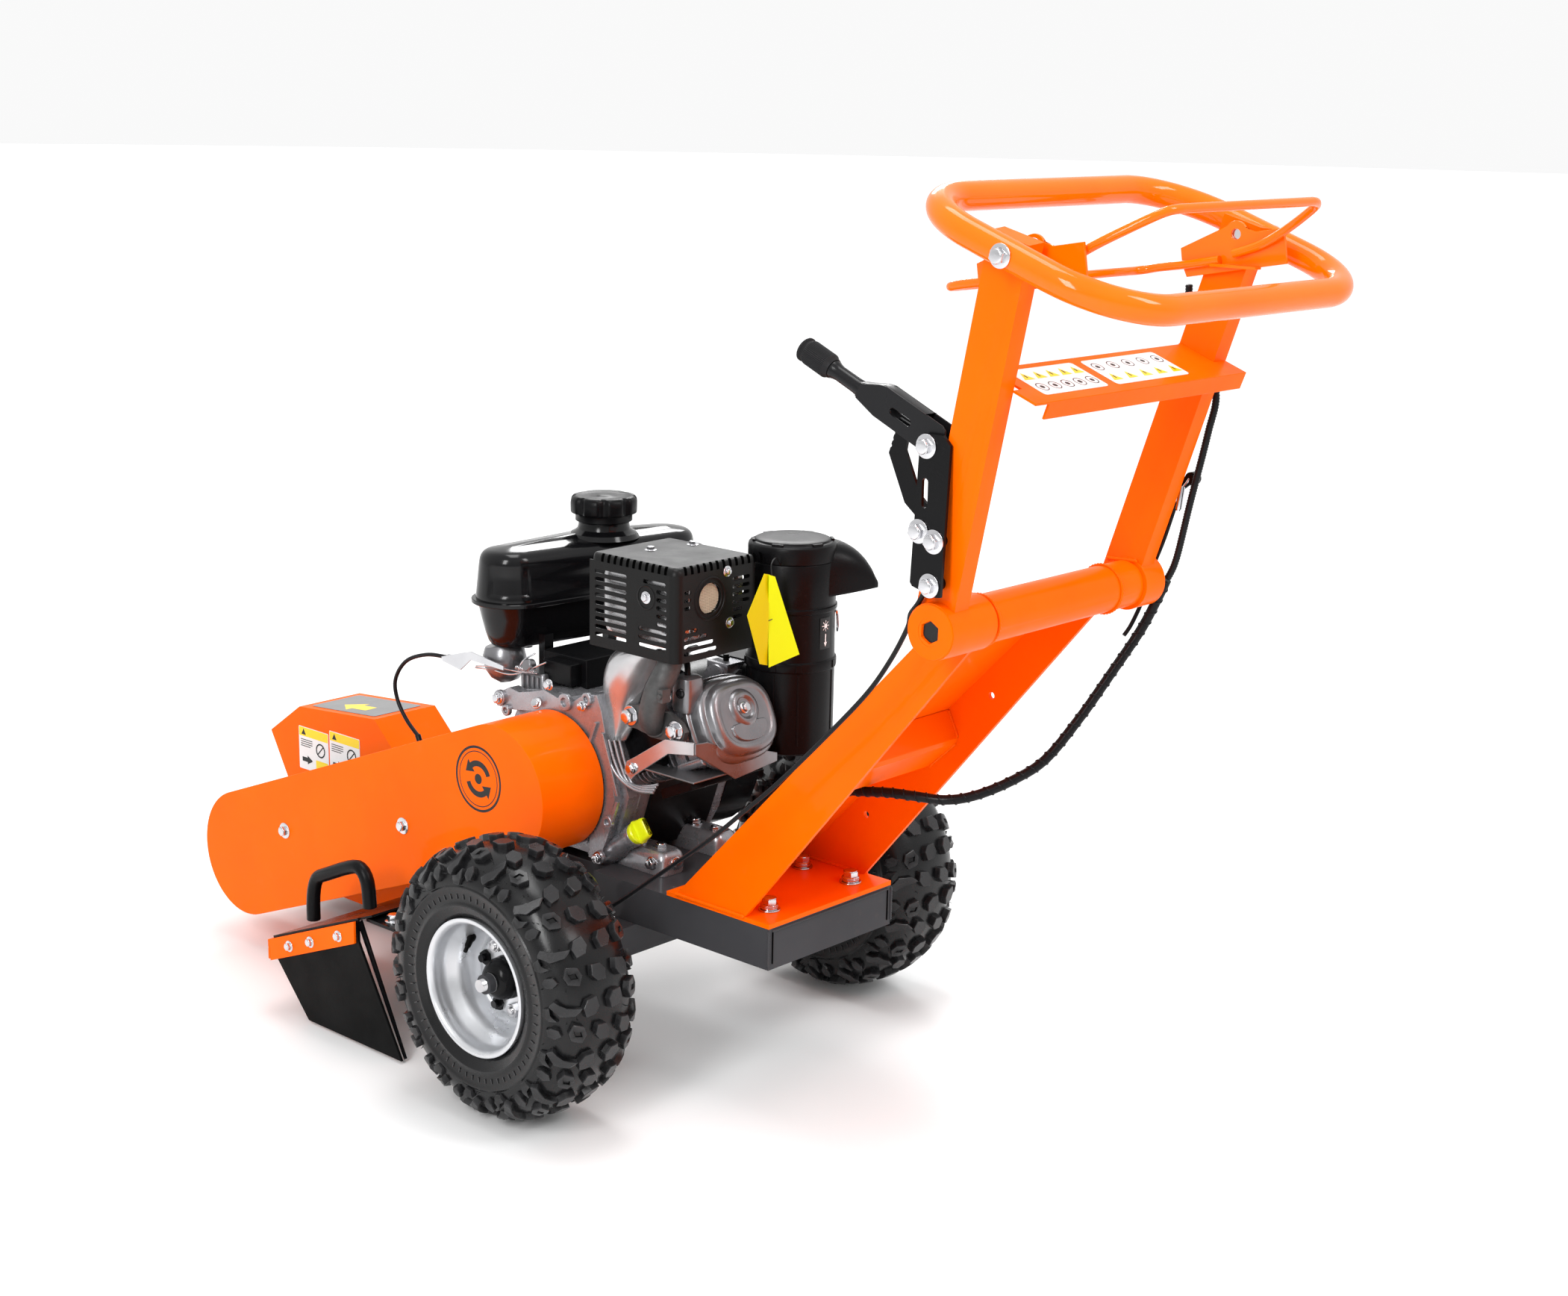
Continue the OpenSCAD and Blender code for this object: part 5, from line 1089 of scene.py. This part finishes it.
def air_cleaner():
    centre = Matrix.Translation((*CAN, 0))
    b = Builder()
    b.lathe([(46, 404), (54, 405), (57.4, 408), (58.4, 414), (58.6, 518), (60.6, 519), (61, 521), (61, 529),
             (60.4, 531),
             (58.6, 532), (58.2, 560), (58, 596), (60.4, 597), (60.8, 599), (60.6, 602.5), (58.8, 603), (58.4, 605.6),
             (58.6, 606.4), (58.4, 660), (57.6, 661.6), (54, 661.8), (54, 640), (30, 640), (30, 661)], 96, centre)
    for a in (200, 232, 290, 340, 30, 90, 140):
        spot = centre @ Matrix.Rotation(math.radians(a), 4, "Z")
        b.box((57.5, -4, 520), (62.2, 4, 530), spot)
        b.box((57.5, -1.2, 420), (59.6, 1.2, 516), spot)
    # Clean-air duct to the carburettor and the mounting strap.
    b.box((100, -26, 470), (146, 38, 516))
    b.tube(spline([(110, -10, 492), (104, 6, 494), (100, 16, 492)], 5), 20, 24)
    b.piece("air_cleaner_body", "black_plastic", "root", "black_plastic", bevel=0.5, stands_for=["air_cleaner"],
            smooth=40)
    # Wire clips and the strap's bolt.
    w = Builder()
    for a in (205, 318):
        spot = centre @ Matrix.Rotation(math.radians(a), 4, "Z")
        loop = [(59.4, -8, 592), (61.4, -8, 584), (62.4, -7, 570), (61.6, 0, 562), (62.4, 7, 570), (61.4, 8, 584),
                (59.4, 8, 592)]
        w.tube([spot @ Vector(p) for p in spline(loop, 4)], 1.2, 8)
        w.box((58.4, -10, 588), (60.6, 10, 592), spot)
    add_bolt(w, (CAN[0] + 62, CAN[1] - 10, 470), (1, -0.2, 0), 9)
    w.piece("air_cleaner_clips", "bright_zinc", "root", "zinc", bevel=0.2)
    c = Builder()
    c.lathe([(50, 662.2), (58.6, 662.2), (59, 664), (59, 680), (58, 683.4), (55, 685.6), (51, 686.4), (49.6, 688.6),
             (46, 689.8), (30, 690), (0.01, 690)], 96, centre)
    for a in (20, 80, 140, 200, 260, 320):
        spot = centre @ Matrix.Rotation(math.radians(a), 4, "Z")
        c.box((50.5, -8, 684.6), (54.5, 8, 688.4), spot)
    # Rain hood, swept out and down to its open mouth.
    rings = []
    for s in range(13):
        t = s / 12
        reach = 30 + 78 * t
        high = 612 + 74 * math.sqrt(max(0.0, 1 - (0.96 * t) ** 2.6))
        low = 616 + 8 * t
        half = 46 - 10 * t * t
        ring = [(half, reach, low)]
        for k in range(25):
            a = math.pi * k / 24
            ring.append((half * math.copysign(abs(math.cos(a)) ** 0.7, math.cos(a)), reach,
                         low + 3 + max(0.5, high - low - 3) * math.sin(a) ** 0.55))
        ring.append((-half, reach, low))
        rings.append(ring)
    turn = centre @ Matrix.Rotation(math.radians(-120), 4, "Z")
    thicken(Builder().sheet(rings, turn).piece("air_cleaner_hood", "black_plastic", "air_cleaner_cap",
                                               "black_plastic",
                                               smooth=60), 0.0025)
    c.piece("air_cleaner_lid", "black_plastic", "air_cleaner_cap", "black_plastic", bevel=0.6,
            stands_for=["air_cleaner_cap"], smooth=35)
    # Plain season decal: a round mark over an arrow, no words.
    d, e = Builder(), Builder()

    def on_can(angle, z, radius=59.0):
        return (*polar(radius, angle, *CAN), z)
    d.sheet([[on_can(262 + 20 * i / 8, z, 58.75) for i in range(9)] for z in (548, 590)])
    for k in range(8):
        t = 2 * math.pi * k / 8
        e.add([on_can(272 + (6.2 * math.cos(t + g)) * f * 0.95, 579 + 6.4 * math.sin(t + g) * f)
               for g, f in ((-0.12, 0.62), (0.12, 0.62), (0.07, 1.15), (-0.07, 1.15))], [(0, 1, 2, 3)])
    e.add([on_can(272 + 3 * math.cos(t), 579 + 3.2 * math.sin(t)) for t in [math.pi * i / 8 for i in range(16)]],
          [tuple(range(16))])
    e.add([on_can(*p) for p in ((271, 568), (273, 568), (273, 557), (275, 557), (272, 551), (269, 557),
                                           (271, 557))], [tuple(range(7))])
    d.piece("season_decal", "label_black", "root", "black_plastic")
    e.piece("season_mark", "label_white", "root", "black_plastic")


def hang_tag():
    """Two blank tags on a wire in front of the air cleaner."""
    for name, key, dx, dy, outline in (
            ("hang_tag_front", "yellow_tag", 0, 0, [(17, 662), (29, 658), (56, 602), (80, 547), (20, 540),
                                                    (24, 600)]),
            ("hang_tag_rear", "amber_tag", -3, 3, [(14, 664), (25, 661), (30, 600), (24, 542), (10, 546),
                                                   (-10, 612)])):
        outline = [(x + dx, z) for x, z in outline]
        b = Builder().loft([[(x, -120 + dy + offset + 6 * math.sin((z - 540) / 120 * math.pi), z) for x, z in outline]
                            for offset in (0.0, 0.5)])
        b.piece(name, key, "root", "lime")
    line = Builder()
    line.add([(22, -121.2 + 6, 600.6), (54, -121.2 + 6, 605.6), (54, -121.2 + 6, 604.4), (22, -121.2 + 6, 599.4)],
             [(0, 1, 2, 3)])
    line.tube(spline([(24, -119, 658), (30, -112, 672), (52, -100, 676), (70, -92, 662)], 6), 0.9, 6)
    line.piece("hang_tag_wire", "label_black", "root", "cable")


# ---------- handle: lever, bail and cables ----------

LEVER = Matrix.Translation((-200, -554, 902.5)) @ Matrix.Rotation(math.radians(23.5), 4, "X")


def brake_lever():
    b = Builder()
    outline = [(-12, -4), (-9, -9), (0, -11.5), (12, -12), (84, -11.6), (98, -9), (114, -6), (114, 11.5), (100, 18),
               (88, 24), (80, 26), (-4, 26), (-10, 23), (-13, 16)]
    hole = slot_hole(34, 66, 6, 4.2)
    for x in (-7.6, 7.6):
        b.plate(outline, [hole], 2.2, lambda y, h, z: LEVER @ Vector((x + z, y, h)))
    b.loft([[(x, y, z) for x, z in rounded((-8.6 * w, lo), (8.6 * w, hi), 3.2 * w, 4)] for y, w, lo, hi in
            ((20, 1, 22.4, 26.2), (70, 1, 22.4, 26.2), (84, 1, 14, 25.6), (94, 1, -6, 21.6), (106, 1, -6.4, 15.6),
             (116, 0.98, -6.2, 11.4))], move=LEVER)
    grip = LEVER @ Matrix.Translation((0, 0, 2.5)) @ Matrix.Rotation(math.radians(-90), 4, "X")
    b.lathe([(8.2, 112), (9.2, 118), (8.8, 124), (8.6, 150), (9.4, 155), (10.4, 158), (10.4, 160)], 40, grip)
    b.piece("brake_lever_forging", "lever_black", "brake_lever", "black_plastic", bevel=0.6,
            stands_for=["brake_lever"],
            smooth=40)
    k = Builder()
    rings = []
    for z, r, cut in ((160.6, 11.4, 0), (164, 12.4, 0), (167, 14.2, 0.0), (168, 14.4, 0.8), (196, 14.4, 0.8),
                      (198, 14.2, 0.2), (200, 12.8, 0), (202, 12.6, 0), (203.4, 14.2, 0.8), (206, 14.0, 0.6),
                      (206.9, 12.6, 0)):
        turns = [(r - cut * (i % 2), 2 * math.pi * i / 96) for i in range(96)]
        rings.append([(q * math.cos(t), q * math.sin(t), z) for q, t in turns])
    k.loft(rings, move=grip)
    k.piece("brake_adjuster_knob", "grip", "brake_adjuster", "black_plastic", stands_for=["brake_adjuster"],
            smooth=25)


def bail():
    b = Builder()
    rear = [(-184, -668, 1094), (-184, -704, 1107), (-179, -738, 1126), (-158, -780, 1150.5), (-144, -792, 1158),
            (-128, -796, 1160)]
    front = [(-185, -650, 1086), (-185, -612, 1078.6), (-185, -570, 1072), (-182, -554, 1068.6), (-172, -546, 1067),
             (-158, -545, 1067)]
    for half in (rear, front):
        line = spline(half, 6)
        b.tube(line + [Vector((-p.x, p.y, p.z)) for p in line[::-1]], 5, 16)
    outline = [(-594, 1095.4), (-597, 1077), (-604, 1063), (-640, 1069.6), (-733.6, 1086.6), (-727, 1126),
               (-690, 1119.6)]
    boss = [polar(15, t, -666, 1115.5) for t in range(150, 20, -13)]
    hole = [polar(6.1, t, -666, 1115.5) for t in range(0, 360, 20)]
    for s in (-1, 1):
        b.plate(outline + boss, [hole], 3.6, lambda y, h, z: (s * (192 + z), y, h), 0.5)
        # Folded lower lip and weld runs along the rods.
        b.box((min(s * 180, s * 193), -700, 1078), (max(s * 180, s * 193), -640, 1081.5))
        weld(b, (s * 189.4, -700, 1106), (s * 189.4, -670, 1095), 2.0)
        weld(b, (s * 189.6, -640, 1084), (s * 189.6, -608, 1078), 2.0)
    b.piece("bail_rods", "orange_gloss", "bail", "orange", bevel=0.4, stands_for=["bail"], smooth=40)


CONDUIT = [(216, -592, 1052), (221, -592, 1010), (227, -604, 972), (224, -632, 930), (220, -627, 880),
           (216, -611, 796),
           (214, -598, 728), (213.5, -587, 701)]
BUNDLE = [(213.5, -586, 700), (212.5, -575, 674), (202, -560, 634), (174, -540, 582), (145, -518, 528),
          (110, -496, 479), (75, -476, 456), (40, -446, 437), (15, -418, 430), (0, -381, 430), (-6, -346, 428),
          (-8, -300, 420), (-8, -252, 412)]
WIRE = [(213, -594, 796), (213, -580, 750), (213, -566, 712), (212, -557, 676), (200, -549, 642), (190, -545, 628)]
BRAKE = [(-199.5, -551, 752), (-199, -537, 728), (-196, -523.5, 712), (-190, -515, 694), (-180, -484, 650),
         (-176, -447, 603), (-170, -380, 536), (-170, -311, 468), (-178, -260, 420), (-185, -213, 377),
         (-190, -130, 312), (-194, -60, 258), (-222, -36, 240), (-250, -26, 233), (-260, -14.1, 231)]
THROTTLE = [(-92, 449, 353), (-92, 476, 373), (-92, 496, 400), (-92, 499, 429), (-92, 474, 460), (-91, 430, 477),
            (-90, 386, 481), (-90, 352, 482)]


def even(path, step):
    """The path's points again, a fixed step apart."""
    out, carry = [Vector(path[0])], 0.0
    for a, b in zip(path, path[1:]):
        length = (b - a).length
        while carry + step <= length:
            carry += step
            out.append(a.lerp(b, carry / length))
        carry -= length
    return out


def bent_piece(builder, name, material, slot, start, end, stands_for=()):
    """A piece made like the others, then taken off its body with its place baked into the mesh."""
    piece = builder.piece(name, material, "root", slot, smooth=70)
    piece.parent = None
    piece.matrix_world = Matrix.Identity(4)
    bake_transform(piece)
    if stands_for:
        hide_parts(*stands_for)
    return piece


def cables():
    pivot = ((203, -548, 612), (211, -596, 770))
    c = Builder()
    line = even(spline(CONDUIT, 10), 1.7)
    c.tube(line, [4.6 if i % 2 else 3.9 for i in range(len(line))], 12)
    line = even(spline(WIRE, 8), 6)
    c.tube(line, 2.6, 10)
    bent_piece(c, "throttle_conduit", "cable", "cable", *pivot)
    w = Builder()
    line = even(spline(BUNDLE, 10), 3)
    w.tube(line, 6.1, 14)
    # Spiral wrap: a flat ridge that winds round the bundle.
    wrap, normal = [], None
    for i, p in enumerate(line[:-1]):
        d = (line[i + 1] - line[max(i - 1, 0)]).normalized()
        normal = d.orthogonal().normalized() if normal is None else (normal - d * normal.dot(d)).normalized()
        other = d.cross(normal)
        turn = i * 3 / 15 * 2 * math.pi
        for k in range(3):
            a = turn + 3 / 15 * 2 * math.pi * k / 3
            wrap.append(p.lerp(line[i + 1], k / 3) + (normal * math.cos(a) + other * math.sin(a)) * 6.0)
    w.tube(wrap, 1.25, 6)
    bent_piece(w, "cable_bundle", "cable", "cable", *pivot, stands_for=["control_cables"])
    b = Builder()
    line = even(spline(BRAKE, 8), 5)
    b.tube(line, 2.9, 10)
    bent_piece(b, "brake_cable_sleeve", "cable", "cable", (-180, -490, 655), (-194, -545, 742),
               stands_for=["brake_cable"])
    t = Builder()
    t.tube(even(spline(THROTTLE, 8), 5), 2.9, 12)
    t.lathe([(3.6, 0), (4.2, 1), (4.2, 18), (3.2, 20)], 16, turn_to((0, -0.4, -0.8), (-92, 452, 356)))
    t.piece("throttle_cable_sleeve", "cable", "root", "cable", stands_for=["throttle_cable"], smooth=70)
    f = Builder()
    f.lathe([(7.6, 0), (8.2, 1), (8.2, 8), (6.8, 10)], 24, turn_to((0, -0.9, 0.2), (-8, -252, 412)))
    f.piece("cable_grommet", "rubber", "root", "rubber")
    s = Builder()
    s.lathe([(4.4, -14), (4.4, 12), (3.4, 14), (3.4, -16)], 20, turn_to((0.02, -0.1, 1), (215.6, -597, 802)))
    s.tube(spline([(224, -604, 826), (221, -602, 820), (217, -598, 812)], 4), 1.4, 8)
    s.piece("throttle_ferrule", "bright_zinc", "handlebar", "zinc")


# ---------- decals and weld beads ----------

def flat_shape(builder, points, frame_matrix):
    builder.add([(x, y, 0) for x, y in points], [tuple(range(len(points)))], frame_matrix)


def arrow_outline(x, y, length, width):
    return [(x, y - width / 4), (x + length * 0.5, y - width / 4), (x + length * 0.5, y - width / 2), (x + length, y),
            (x + length * 0.5, y + width / 2), (x + length * 0.5, y + width / 4), (x, y + width / 4)]


def disc(x, y, r, count=28):
    return [(x + px, y + py) for px, py in ring_of(count, r)]


def hoop(builder, x, y, r0, r1, matrix, start=0.0, sweep=360.0, count=48):
    points, faces = [], []
    for i in range(count + 1):
        t = math.radians(start + sweep * i / count)
        points += [(x + r0 * math.cos(t), y + r0 * math.sin(t), 0), (x + r1 * math.cos(t), y + r1 * math.sin(t), 0)]
    faces = [(2 * i, 2 * i + 1, 2 * i + 3, 2 * i + 2) for i in range(count)]
    builder.add(points, faces, matrix)


def decals():
    # Belt cover's left face: local x runs to the rear, local y is up.
    mark_x, mark_y = -182, 374
    face = Matrix(((0, 0, -1, -211.12), (-1, 0, 0, 0), (0, 1, 0, 0), (0, 0, 0, 1)))
    b = Builder()
    hoop(b, mark_x, mark_y, 41.5, 45, face, count=80)
    hoop(b, mark_x, mark_y, 36.6, 38, face, count=80)
    for turn in (0, 180):
        hoop(b, mark_x, mark_y, 17, 25, face, 20 + turn, 110, 24)
        spot = face @ Matrix.Translation((mark_x, mark_y, 0)) @ Matrix.Rotation(math.radians(130 + turn), 4, "Z")
        flat_shape(b, [(11, 0), (31, 0), (21, 15)], spot)
    flat_shape(b, disc(mark_x, mark_y, 7), face)
    b.piece("belt_cover_mark", "label_black", "root", "orange")
    # Hood top: a grey plate with a plain arrow.
    slope = math.atan2(314 - 330, 817 - 632)
    top = Matrix.Translation((30, 724.5, 322.3)) @ Matrix.Rotation(slope, 4, "X")
    g, y, w = Builder(), Builder(), Builder()
    g.prism(rounded((-46, -78), (46, 78), 6), 0.0, 0.5, top)
    flat_shape(y, [(p[1], p[0]) for p in arrow_outline(-30, -14, 66, 46)], top @ Matrix.Translation((0, 0, 0.62)))
    # Hood's left face: two white panels, each with a yellow band, a plain sign and ruled lines.
    side_face = Matrix(((0, 0, -1, -28.3), (-1, 0, 0, 0), (0, 1, 0, 0), (0, 0, 0, 1)))
    k = Builder()
    for x0, z0 in ((-819, 216), (-742, 223)):
        w.prism(rounded((x0, z0), (x0 + 74, z0 + 68), 2), 0.0, 0.3, side_face)
        over = side_face @ Matrix.Translation((0, 0, 0.45))
        flat_shape(y, rounded((x0 + 1, z0 + 53), (x0 + 73, z0 + 67), 1), over)
        mark = side_face @ Matrix.Translation((0, 0, 0.6))
        flat_shape(k, [(x0 + 7, z0 + 55.5), (x0 + 18, z0 + 55.5), (x0 + 12.5, z0 + 65)], mark)
        for row in range(4):
            flat_shape(k, rounded((x0 + 5, z0 + 47 - 3.4 * row), (x0 + 34 - 5 * (row == 3), z0 + 48.2 - 3.4 * row),
                                  0.4), mark)
        hoop(k, x0 + 54, z0 + 37, 9, 11.4, mark)
        flat_shape(k, [(-9.5, -1), (9.5, -1), (9.5, 1), (-9.5, 1)], mark @ Matrix.Translation(
            (x0 + 54, z0 + 37, 0)) @ Matrix.Rotation(math.radians(45), 4, "Z"))
        flat_shape(k, [(p[0] + x0 + 8, p[1] + z0 + 16) for p in arrow_outline(0, 0, 26, 14)], mark)
        flat_shape(y, rounded((x0 + 42, z0 + 4), (x0 + 72, z0 + 20), 1), over)
    k.piece("hood_marks", "label_black", "root", "orange")
    # Tray: two white panels with rows of plain marks.
    tray = Matrix.Translation((0, -600, 987)) @ Matrix.Rotation(math.radians(20.5), 4, "X")
    g.piece("hood_plate", "label_grey", "root", "orange")
    y.piece("hood_yellow", "label_yellow", "root", "orange")
    w.piece("hood_panels", "label_white", "root", "orange")
    y, w, k = Builder(), Builder(), Builder()
    for x0, x1 in ((-158, -42), (-26, 116)):
        w.prism(rounded((x0, -68), (x1, -12), 5), 0.02, 0.35, tray)
        count = 5
        for row, yy in ((0, -28), (1, -52)):
            for i in range(count):
                x = x0 + 14 + (x1 - x0 - 26) * i / (count - 1)
                spot = tray @ Matrix.Translation((0, 0, 0.5))
                if (row + (0 if x0 < -100 else 1)) % 2 == 0:
                    flat_shape(y, [(x - 9, yy - 7), (x + 9, yy - 7), (x, yy + 8)], spot)
                    flat_shape(k, [(x - 1.2, yy - 3.4), (x + 1.2, yy - 3.4), (x + 1.2, yy + 2.6),
                                   (x - 1.2, yy + 2.6)],
                               tray @ Matrix.Translation((0, 0, 0.62)))
                else:
                    hoop(k, x, yy, 7.0, 8.2, spot, count=28)
                    flat_shape(k, disc(x, yy, 3.2, 16), spot)
    y.piece("tray_yellow", "label_yellow", "handlebar", "orange")
    w.piece("tray_panels", "label_white", "handlebar", "orange")
    k.piece("tray_marks", "label_black", "handlebar", "orange")


def welds():
    b, h, c, j = Builder(), Builder(), Builder(), Builder()
    for s in (-1, 1):
        x = s * 118.6
        weld(b, (x, -92, 261), (x, -212, 261), 2.6)
        weld(b, (s * 111, -104, 262), (s * 111, -205, 262), 2.6)
        circle = circle_path((s * 118.4, *PIVOT), 28.8, (1, 0, 0), 90)
        b.tube(circle, [2.0 + (0.4 if i % 2 else -0.4) for i in range(90)], 8, closed=True)
        weld(b, (s * 110.6, -343, 510), (s * 110.6, -359, 478), 1.8)
        weld(b, (s * 110.6, -356, 469), (s * 110.6, -316, 431), 1.8)
        weld(h, (s * 190, -575, 729), (s * 190, -531, 727), 2.4)
        weld(h, (s * 165.2, -575, 728), (s * 165.2, -531, 726), 2.4)
        h.tube(circle_path((-127 if s < 0 else 165.6, *PIVOT), 31.4, (1, 0, 0), 80), 0.9, 6, closed=True)
        weld(c, (s * 118.4, -253.4, 206), (s * 118.4, -253.4, 252), 1.6, 0.25)
        j.box((s * 111 - 0.7, -254.25, 208), (s * 111 + 0.7, -253.0, 250))
    weld(b, (-110, -100, 261.5), (110, -100, 261.5), 2.4)
    weld(c, (-112, -253.6, 251), (112, -253.6, 251), 1.6, 0.25)
    for y in (-20.6, 20.6):
        for s in (-1, 1):
            weld(c, (s * 60, y, 201.5), (s * 114, y, 201.5), 2.2)
    b.piece("column_welds", "orange", "root", "orange", smooth=60)
    h.piece("arm_welds", "orange", "handlebar", "orange", smooth=60)
    j.piece("frame_end_seams", "slot_shadow", "root", "frame_grey", bevel=0.2)
    c.piece("frame_welds", "frame_grey", "root", "frame_grey", smooth=60)


def axle_ends():
    b = Builder()
    for s in (-1, 1):
        b.lathe([(12.5, 0), (12.6, 3.6), (11.4, 4.4), (10.4, 4.4), (10.2, 2.8), (9.4, 2.8)], 40,
                turn_to((s, 0, 0), (s * 348, 0, 180)))
        add_thread(b, (s * 349, 0, 180), (s, 0, 0), 8, 20)
    b.piece("axle_threads", "zinc", "root", "zinc")


def hardware():
    """Detailed heads over the frame's and the engine's own bolts."""
    b = Builder()
    for x, y in ((-76, -215), (76, -219), (76, -135), (-76, -135)):
        b.lathe([(0.01, 260.5), (14, 260.5), (14.4, 261.4), (14, 262.6), (10.6, 262.7), (10.6, 263.3), (11.4, 263.4),
                 (11.6, 266), (11, 266.4), (0.01, 266.4)], 40, Matrix.Translation((x, y, 0)))
        add_bolt(b, (x, y, 266.4), (0, 0, 1), 18, 0.64, 0.2 + x)
    for y, z in ((610, 203), (340, 273)):
        add_bolt(b, (-211.1, y, z), (-1, 0, 0), 13, 0.9)
    for y, z in ((440, 104), (392, 123), (330, 148)):
        add_bolt(b, (-332.6, y, z), (-1, 0, 0), 10, 0.8)
    add_bolt(b, (-325, 489.6, 88), (0, 1, 0), 9, 0.8)
    for i in (-1, 1):
        for j in (-1, 1):
            add_bolt(b, (101.1, 715 + i * 39, 143 + j * 39), (1, 0, 0), 16, 0.8)
    add_bolt(b, (-300, 252, 181.6), (0, 0, 1), 16, 0.8)
    b.piece("frame_bolt_heads", "bright_zinc", "root", "zinc", bevel=0.4, stands_for=["frame_bolts"])
    e = Builder()
    add_bolt(e, (-105.1, -22, 635), (-1, 0, 0), 9, 0.9)
    for x, z in ((-12.7, 664), (-7, 596)):
        add_bolt(e, (x, -75.1, z), (0, -1, 0), 8, 0.9)
    for x, y in ((-36, 40), (30, 28)):
        add_bolt(e, (x, y, 677.6), (0, 0, 1), 9, 0.9)
    for x in (-52.5, 52.5):
        for y in (40, 202):
            add_bolt(e, (x, y, 286.2 if y < 100 else 270.6), (0, 0, 1), 13, 0.8)
    e.piece("engine_screw_heads", "bright_zinc", "root", "zinc", bevel=0.3, stands_for=["engine_screws"])


def handle_hardware():
    """Heads on the handle's bolts, and the dark hex sockets in the pivot's ends."""
    b = Builder()
    for y, z in ((-568, 801.5), (-564, 753), (-547, 810), (-554, 902.5)):
        add_bolt(b, (-216.1, y, z), (-1, 0, 0), 16, 0.84)
    for s in (-1, 1):
        add_bolt(b, (s * 258.1, -672.8, 1111.3), (s, 0, 0), 16, 0.8)
        add_bolt(b, (s * 194, -666, 1115.5), (s, 0, 0), 14, 0.8)
    for z0, z1, r in ((200.4, 221.6, 7), (221, 227, 4)):
        b.lathe([(0.01, z0), (r, z0), (r, z1 - 0.6), (r - 0.6, z1), (0.01, z1)], 32,
                turn_to((1, 0, 0), (0, -578, 802)))
    b.piece("handle_bolt_heads", "bright_zinc", "handlebar", "zinc", bevel=0.4, stands_for=["handle_bolts"])
    h = Builder()
    for s in (-1, 1):
        end = turn_to((s, 0, 0), (s * 204, *PIVOT))
        h.lathe([(31, -1.5), (31, 0.6), (30, 1.6), (16, 1.6), (16, -1.5)], 64, end, closed=True)
        rings = [[(16 * math.cos(t), 16 * math.sin(t), 1.4) for t in [math.pi / 3 * k / 4 + 0.5 for k in range(24)]]]
        outline = []
        for k in range(6):
            a, c = (Vector((13.4 * math.cos(math.pi / 3 * q + 0.5), 13.4 * math.sin(math.pi / 3 * q + 0.5), 1.6))
                    for q in (k, k + 1))
            outline += [a.lerp(c, m / 4) for m in range(4)]
        rings.append([tuple(p) for p in outline])
        rings.append([(p.x * 0.94, p.y * 0.94, -2.0) for p in outline])
        h.loft(rings, False, False, end)
    h.piece("pivot_ends", "orange", "root", "orange", smooth=35)
    k = Builder()
    for s in (-1, 1):
        k.lathe([(0.01, -1.4), (13.2, -1.4), (13.2, -3), (0.01, -3)], 6, turn_to((s, 0, 0), (s * 204, *PIVOT)))
    k.piece("pivot_sockets", "label_black", "root", "black_steel")


def dress_all():
    for node in ("column", "column_brace", "cutter_housing", "belt_cover", "flap_clamp", "handle_arms", "handle_ring",
                 "console_tray"):
        dress(node, "orange_gloss" if node == "handle_ring" else "orange", 0.9)
    for node in ("chassis", "axle"):
        dress(node, "frame_grey", 1.6, 3)
    for node in ("debris_guard", "cylinder_shroud", "blower_housing", "brake_bracket"):
        dress(node, "black_steel", 0.7)
    for node in ("recoil_cover", "starter_grip", "guard_handle"):
        dress(node, "black_plastic", 1.0)
    dress("debris_flap", "rubber", 0.8)
    for node in ("crankcase", "crankcase_cover", "carburettor", "cutter_bearings"):
        dress(node, "cast", 1.8, 3)


# ---------- run ----------

MATERIALS = make_materials()
NODE_MATERIALS = {
    "orange": "column column_brace cutter_housing belt_cover flap_clamp handle_arms handle_ring console_tray bail",
    "frame_grey": "chassis axle",
    "cast": "cutter_bearings crankcase crankcase_cover engine_cylinder valve_cover carburettor flywheel",
    "black_steel": "belt_backplate debris_guard cylinder_shroud blower_housing brake_plate left_hub right_hub "
                   "brake_bracket throttle_lever",
    "guard_black": "muffler_guard",
    "rubber": "drive_belt debris_flap",
    "black_plastic": "guard_handle recoil_cover air_cleaner brake_lever brake_adjuster fuel_cap air_cleaner_cap "
                     "starter_grip choke_lever",
    "tank_black": "fuel_tank",
    "zinc": "frame_bolts engine_screws crankshaft clutch_pulley cutter_shaft cutter_pulley handle_bolts",
    "muffler_steel": "muffler",
    "exhaust_cast": "exhaust_pipe",
    "cutter_steel": "cutter_disc cutter_teeth",
    "tyre": "left_tyre right_tyre",
    "rim": "left_rim right_rim",
    "lime": "dipstick",
    "red": "engine_switch",
    "cable": "control_cables brake_cable throttle_cable",
}
make_camera()
make_studio()
for key, names in NODE_MATERIALS.items():
    for node in names.split():
        for entry in frame["nodes"][node].material_slots:
            entry.material = MATERIALS[key]
wheel(-1, "left", "left_wheel", "left")
wheel(1, "right", "right_wheel", "right")
for make in (fuel_tank, muffler_guard, cylinder_head, crankcase_details, air_cleaner, hang_tag, brake_lever, bail,
             cables, decals, welds, axle_ends, hardware, handle_hardware, dress_all):
    make()
